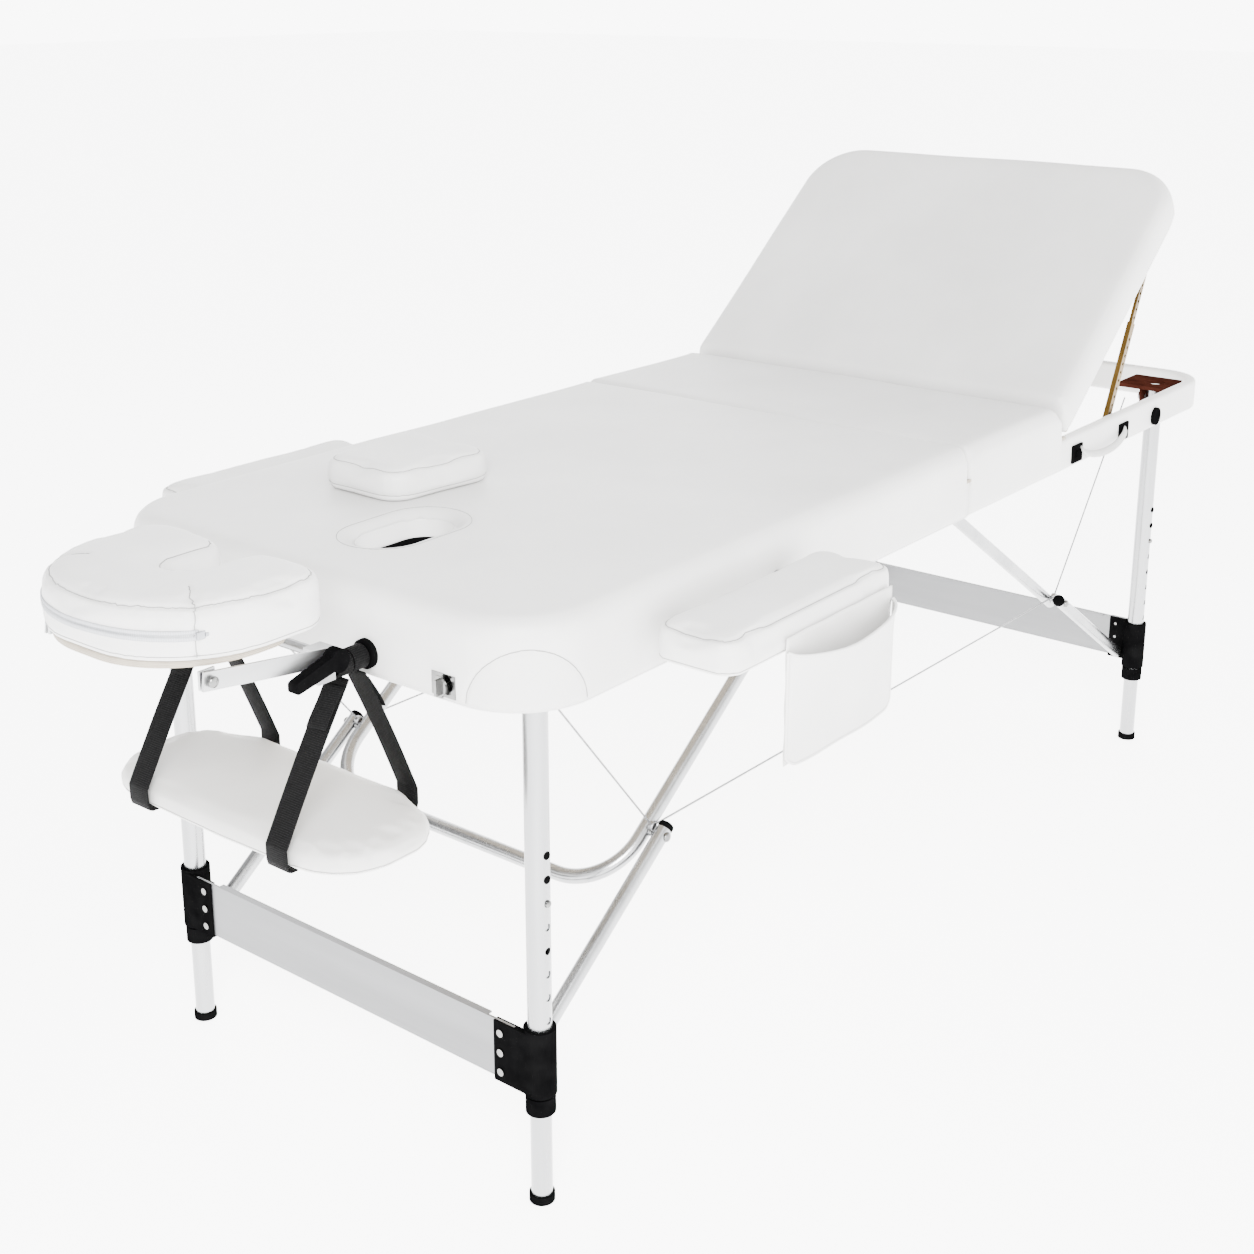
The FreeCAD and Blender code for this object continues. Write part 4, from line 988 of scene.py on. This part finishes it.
grid_u, grid_v = 56, 36
bm = bmesh.new()
rows = [[bm.verts.new(pocket_point(i / grid_u, j / grid_v)) for i in range(grid_u + 1)]
        for j in range(grid_v + 1)]
for j in range(grid_v):
    for i in range(grid_u):
        bm.faces.new((rows[j][i], rows[j][i + 1], rows[j + 1][i + 1], rows[j + 1][i]))
bmesh.ops.recalc_face_normals(bm, faces=bm.faces)
pocket_front = make("pocket_front", bm, white, None)
shell = pocket_front.modifiers.new("shell", "SOLIDIFY")
shell.thickness, shell.offset = 0.0012, 0
apply_all(pocket_front)
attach(pocket_front, "armrest_near")
back_bm = bmesh.new()
rows = [[back_bm.verts.new((pocket_x0 + (pocket_x1 - pocket_x0) * i / 40,
                            pocket_y + 0.0004 + 0.0006 * math.sin(i * 0.5 + j * 0.7),
                            pocket_z0 + (0.668 - pocket_z0) * j / 24)) for i in range(41)] for j in range(25)]
for j in range(24):
    for i in range(40):
        back_bm.faces.new((rows[j][i], rows[j][i + 1], rows[j + 1][i + 1], rows[j + 1][i]))
pocket_back = make("pocket_back", back_bm, cream, None)
shell = pocket_back.modifiers.new("shell", "SOLIDIFY")
shell.thickness, shell.offset = 0.0012, 0
apply_all(pocket_back)
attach(pocket_back, "armrest_near")
mouth_line = [pocket_point(u, 1.0) for u in np.linspace(0, 1, 60)]
hem = cord_mesh("pocket_mouth_binding", mouth_line, 0.0019, white, "armrest_near")
side_line = [pocket_point(0, v) + Vector((-0.0005, 0, 0)) for v in np.linspace(1, 0, 30)]
side_line += [pocket_point(u, 0) + Vector((0, 0, -0.0005)) for u in np.linspace(0.02, 0.98, 60)]
side_line += [pocket_point(1, v) + Vector((0.0005, 0, 0)) for v in np.linspace(0, 1, 30)]
piping = cord_mesh("pocket_edge_piping", side_line, 0.0017, white, "armrest_near")
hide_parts("armrest_pocket")

# ---------------------------------------------------------------- stay cables
KNEES = {"head": Vector((-0.4449, 0, 0.3463)), "foot": Vector((0.6716, 0, 0.3306))}
LEGS = {"head": -0.705, "foot": 0.935}
for name, side in SIDES.items():
    y = side * 0.2585
    up = Vector((0, 0, 0.008))
    head_top = Vector((LEGS["head"] + 0.026, y, 0.641))
    foot_top = Vector((LEGS["foot"] - 0.026, y, 0.641))
    head_eye = KNEES["head"] + up + Vector((0, y, 0))
    foot_eye = KNEES["foot"] + up + Vector((0, y, 0))
    for label, a, b, bodies in (("head", head_top, head_eye, ("head_half", "head_strut")),
                                ("middle", head_eye, foot_eye, None),
                                ("foot", foot_top, foot_eye, ("foot_half", "foot_strut"))):
        line = [a.lerp(b, t) for t in np.linspace(0, 1, 25)]
        piece = cord_mesh(f"stay_cable_{label}_{name}", line, 0.0013, rope, None)
        if bodies:
            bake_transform(piece)
        else:
            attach(piece, "head_half")
            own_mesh(piece)
    for label, eye, body in (("head", head_eye, "head_strut"), ("foot", foot_eye, "foot_strut")):
        lathe(f"stay_eyelet_{label}_{name}", [(0.0022, -0.0035), (0.0052, -0.0035), (0.0058, -0.0025),
                                              (0.0058, 0.0025), (0.0052, 0.0035), (0.0022, 0.0035)],
              eye, (0, 1, 0), steel, body, 24)
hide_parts("stay_cables")

# ---------------------------------------------------------------- knee rivets, brace end caps and leg plugs
BRACE_CAP = [(0.0001, 0.0040), (0.006, 0.0038), (0.0085, 0.0026), (0.0097, 0.0002), (0.0097, -0.005),
             (0.0001, -0.005)]
KNEE_RIVET = [(0.0001, -0.002), (0.0062, -0.002), (0.0062, 0.0008), (0.0055, 0.0022), (0.0035, 0.0032),
              (0.0001, 0.0035)]
for end in ("head", "foot"):
    knee = KNEES[end]
    foot = Vector((LEGS[end], 0, 0.158))
    run = (knee - foot).normalized()
    for name, side in SIDES.items():
        y = side * 0.272
        top = Vector((knee.x, y, knee.z)) + run * 0.0135
        lathe(f"brace_cap_{end}_{name}", BRACE_CAP[::-1], top, tuple(run), black, f"{end}_brace")
        lathe(f"knee_rivet_{end}_{name}", KNEE_RIVET, (knee.x, y + side * 0.0092, knee.z), (0, side, 0),
              chrome, f"{end}_brace")
        for k in (1, 2):
            lathe(f"leg_plug_{end}_{name}_{k}", [(0.0001, -0.0008), (0.0046, -0.0008), (0.0050, 0.0004),
                                                 (0.0044, 0.0012), (0.0001, 0.0014)],
                  (LEGS[end], side * (0.301 + 0.0138), 0.382 + 0.029 * k), (0, side, 0), black,
                  f"{end}_legs", 20)

# ---------------------------------------------------------------- finish the CAD pieces that stay
for name, obj in frame["nodes"].items():
    if obj.hide_render:
        continue
    material = BY_SLOT.get(slot_of.get(name, "tube"), tube)
    if name == "headrest_arms":
        material = arm_metal
    if not obj.material_slots:
        obj.data.materials.append(material)
    for s in obj.material_slots:
        s.material = material

# ---------------------------------------------------------------- room, light and camera
floor_look = Look("pale_floor", 0.7, Emission_Strength=5.5, Emission_Color=(1, 1, 1, 1))
floor_look.colour(floor_look.noise(2), (0.3, (0.88, 0.88, 0.88)), (0.7, (0.90, 0.90, 0.90)))
bm = bmesh.new()
bmesh.ops.create_grid(bm, x_segments=2, y_segments=2, size=30)
floor = make("studio_floor", bm, floor_look.material, None)

SKY_LOW, SKY_HIGH = 9.0, 0.4
SHADE_SIDE = (-0.62, 0.78, 0.0)
world = bpy.data.worlds.new("studio")
world.use_nodes = True
nodes, links = world.node_tree.nodes, world.node_tree.links
sky, height, fade, toward, flag, strength = (nodes.new("ShaderNode" + kind) for kind in (
    "TexCoord", "SeparateXYZ", "MapRange", "VectorMath", "MapRange", "Math"))
links.new(sky.outputs["Generated"], height.inputs["Vector"])
links.new(height.outputs["Z"], fade.inputs["Value"])
fade.inputs["To Min"].default_value, fade.inputs["To Max"].default_value = SKY_LOW, SKY_HIGH
toward.operation = "DOT_PRODUCT"
toward.inputs[1].default_value = SHADE_SIDE
links.new(sky.outputs["Generated"], toward.inputs[0])
links.new(toward.outputs["Value"], flag.inputs["Value"])
flag.inputs["From Min"].default_value, flag.inputs["From Max"].default_value = 0.35, 0.85
flag.inputs["To Min"].default_value, flag.inputs["To Max"].default_value = 1.0, 0.12
strength.operation = "MULTIPLY"
links.new(fade.outputs["Result"], strength.inputs[0])
links.new(flag.outputs["Result"], strength.inputs[1])
links.new(strength.outputs["Value"], nodes["Background"].inputs["Strength"])
nodes["Background"].inputs["Color"].default_value = (1, 1, 1, 1)
bpy.context.scene.world = world


def softbox(name, at, target, size, power):
    light = bpy.data.lights.new(name, "AREA")
    light.shape, light.size, light.size_y, light.energy = "RECTANGLE", size, size, power
    obj = bpy.data.objects.new(name, light)
    obj.location = at
    obj.rotation_euler = (Vector(target) - Vector(at)).to_track_quat("-Z", "Y").to_euler()
    bpy.context.scene.collection.objects.link(obj)


softbox("key", (-2.6, -1.8, 2.2), (0, 0, 0.5), 1.2, 300)
softbox("back", (1.8, 2.6, 2.4), (0, 0, 0.6), 2.0, 25)

camera = bpy.data.cameras.new("camera")
camera.lens, camera.sensor_width = 1783.5 / 1254 * 36, 36
camera.shift_y = (475 - 627) / 1254
view = bpy.data.objects.new("camera", camera)
view.location = (-2.0163, -1.4637, 1.3582)
view.rotation_euler = (math.pi / 2 - 0.275, 0, -0.901)
bpy.context.scene.collection.objects.link(view)
bpy.context.scene.camera = view
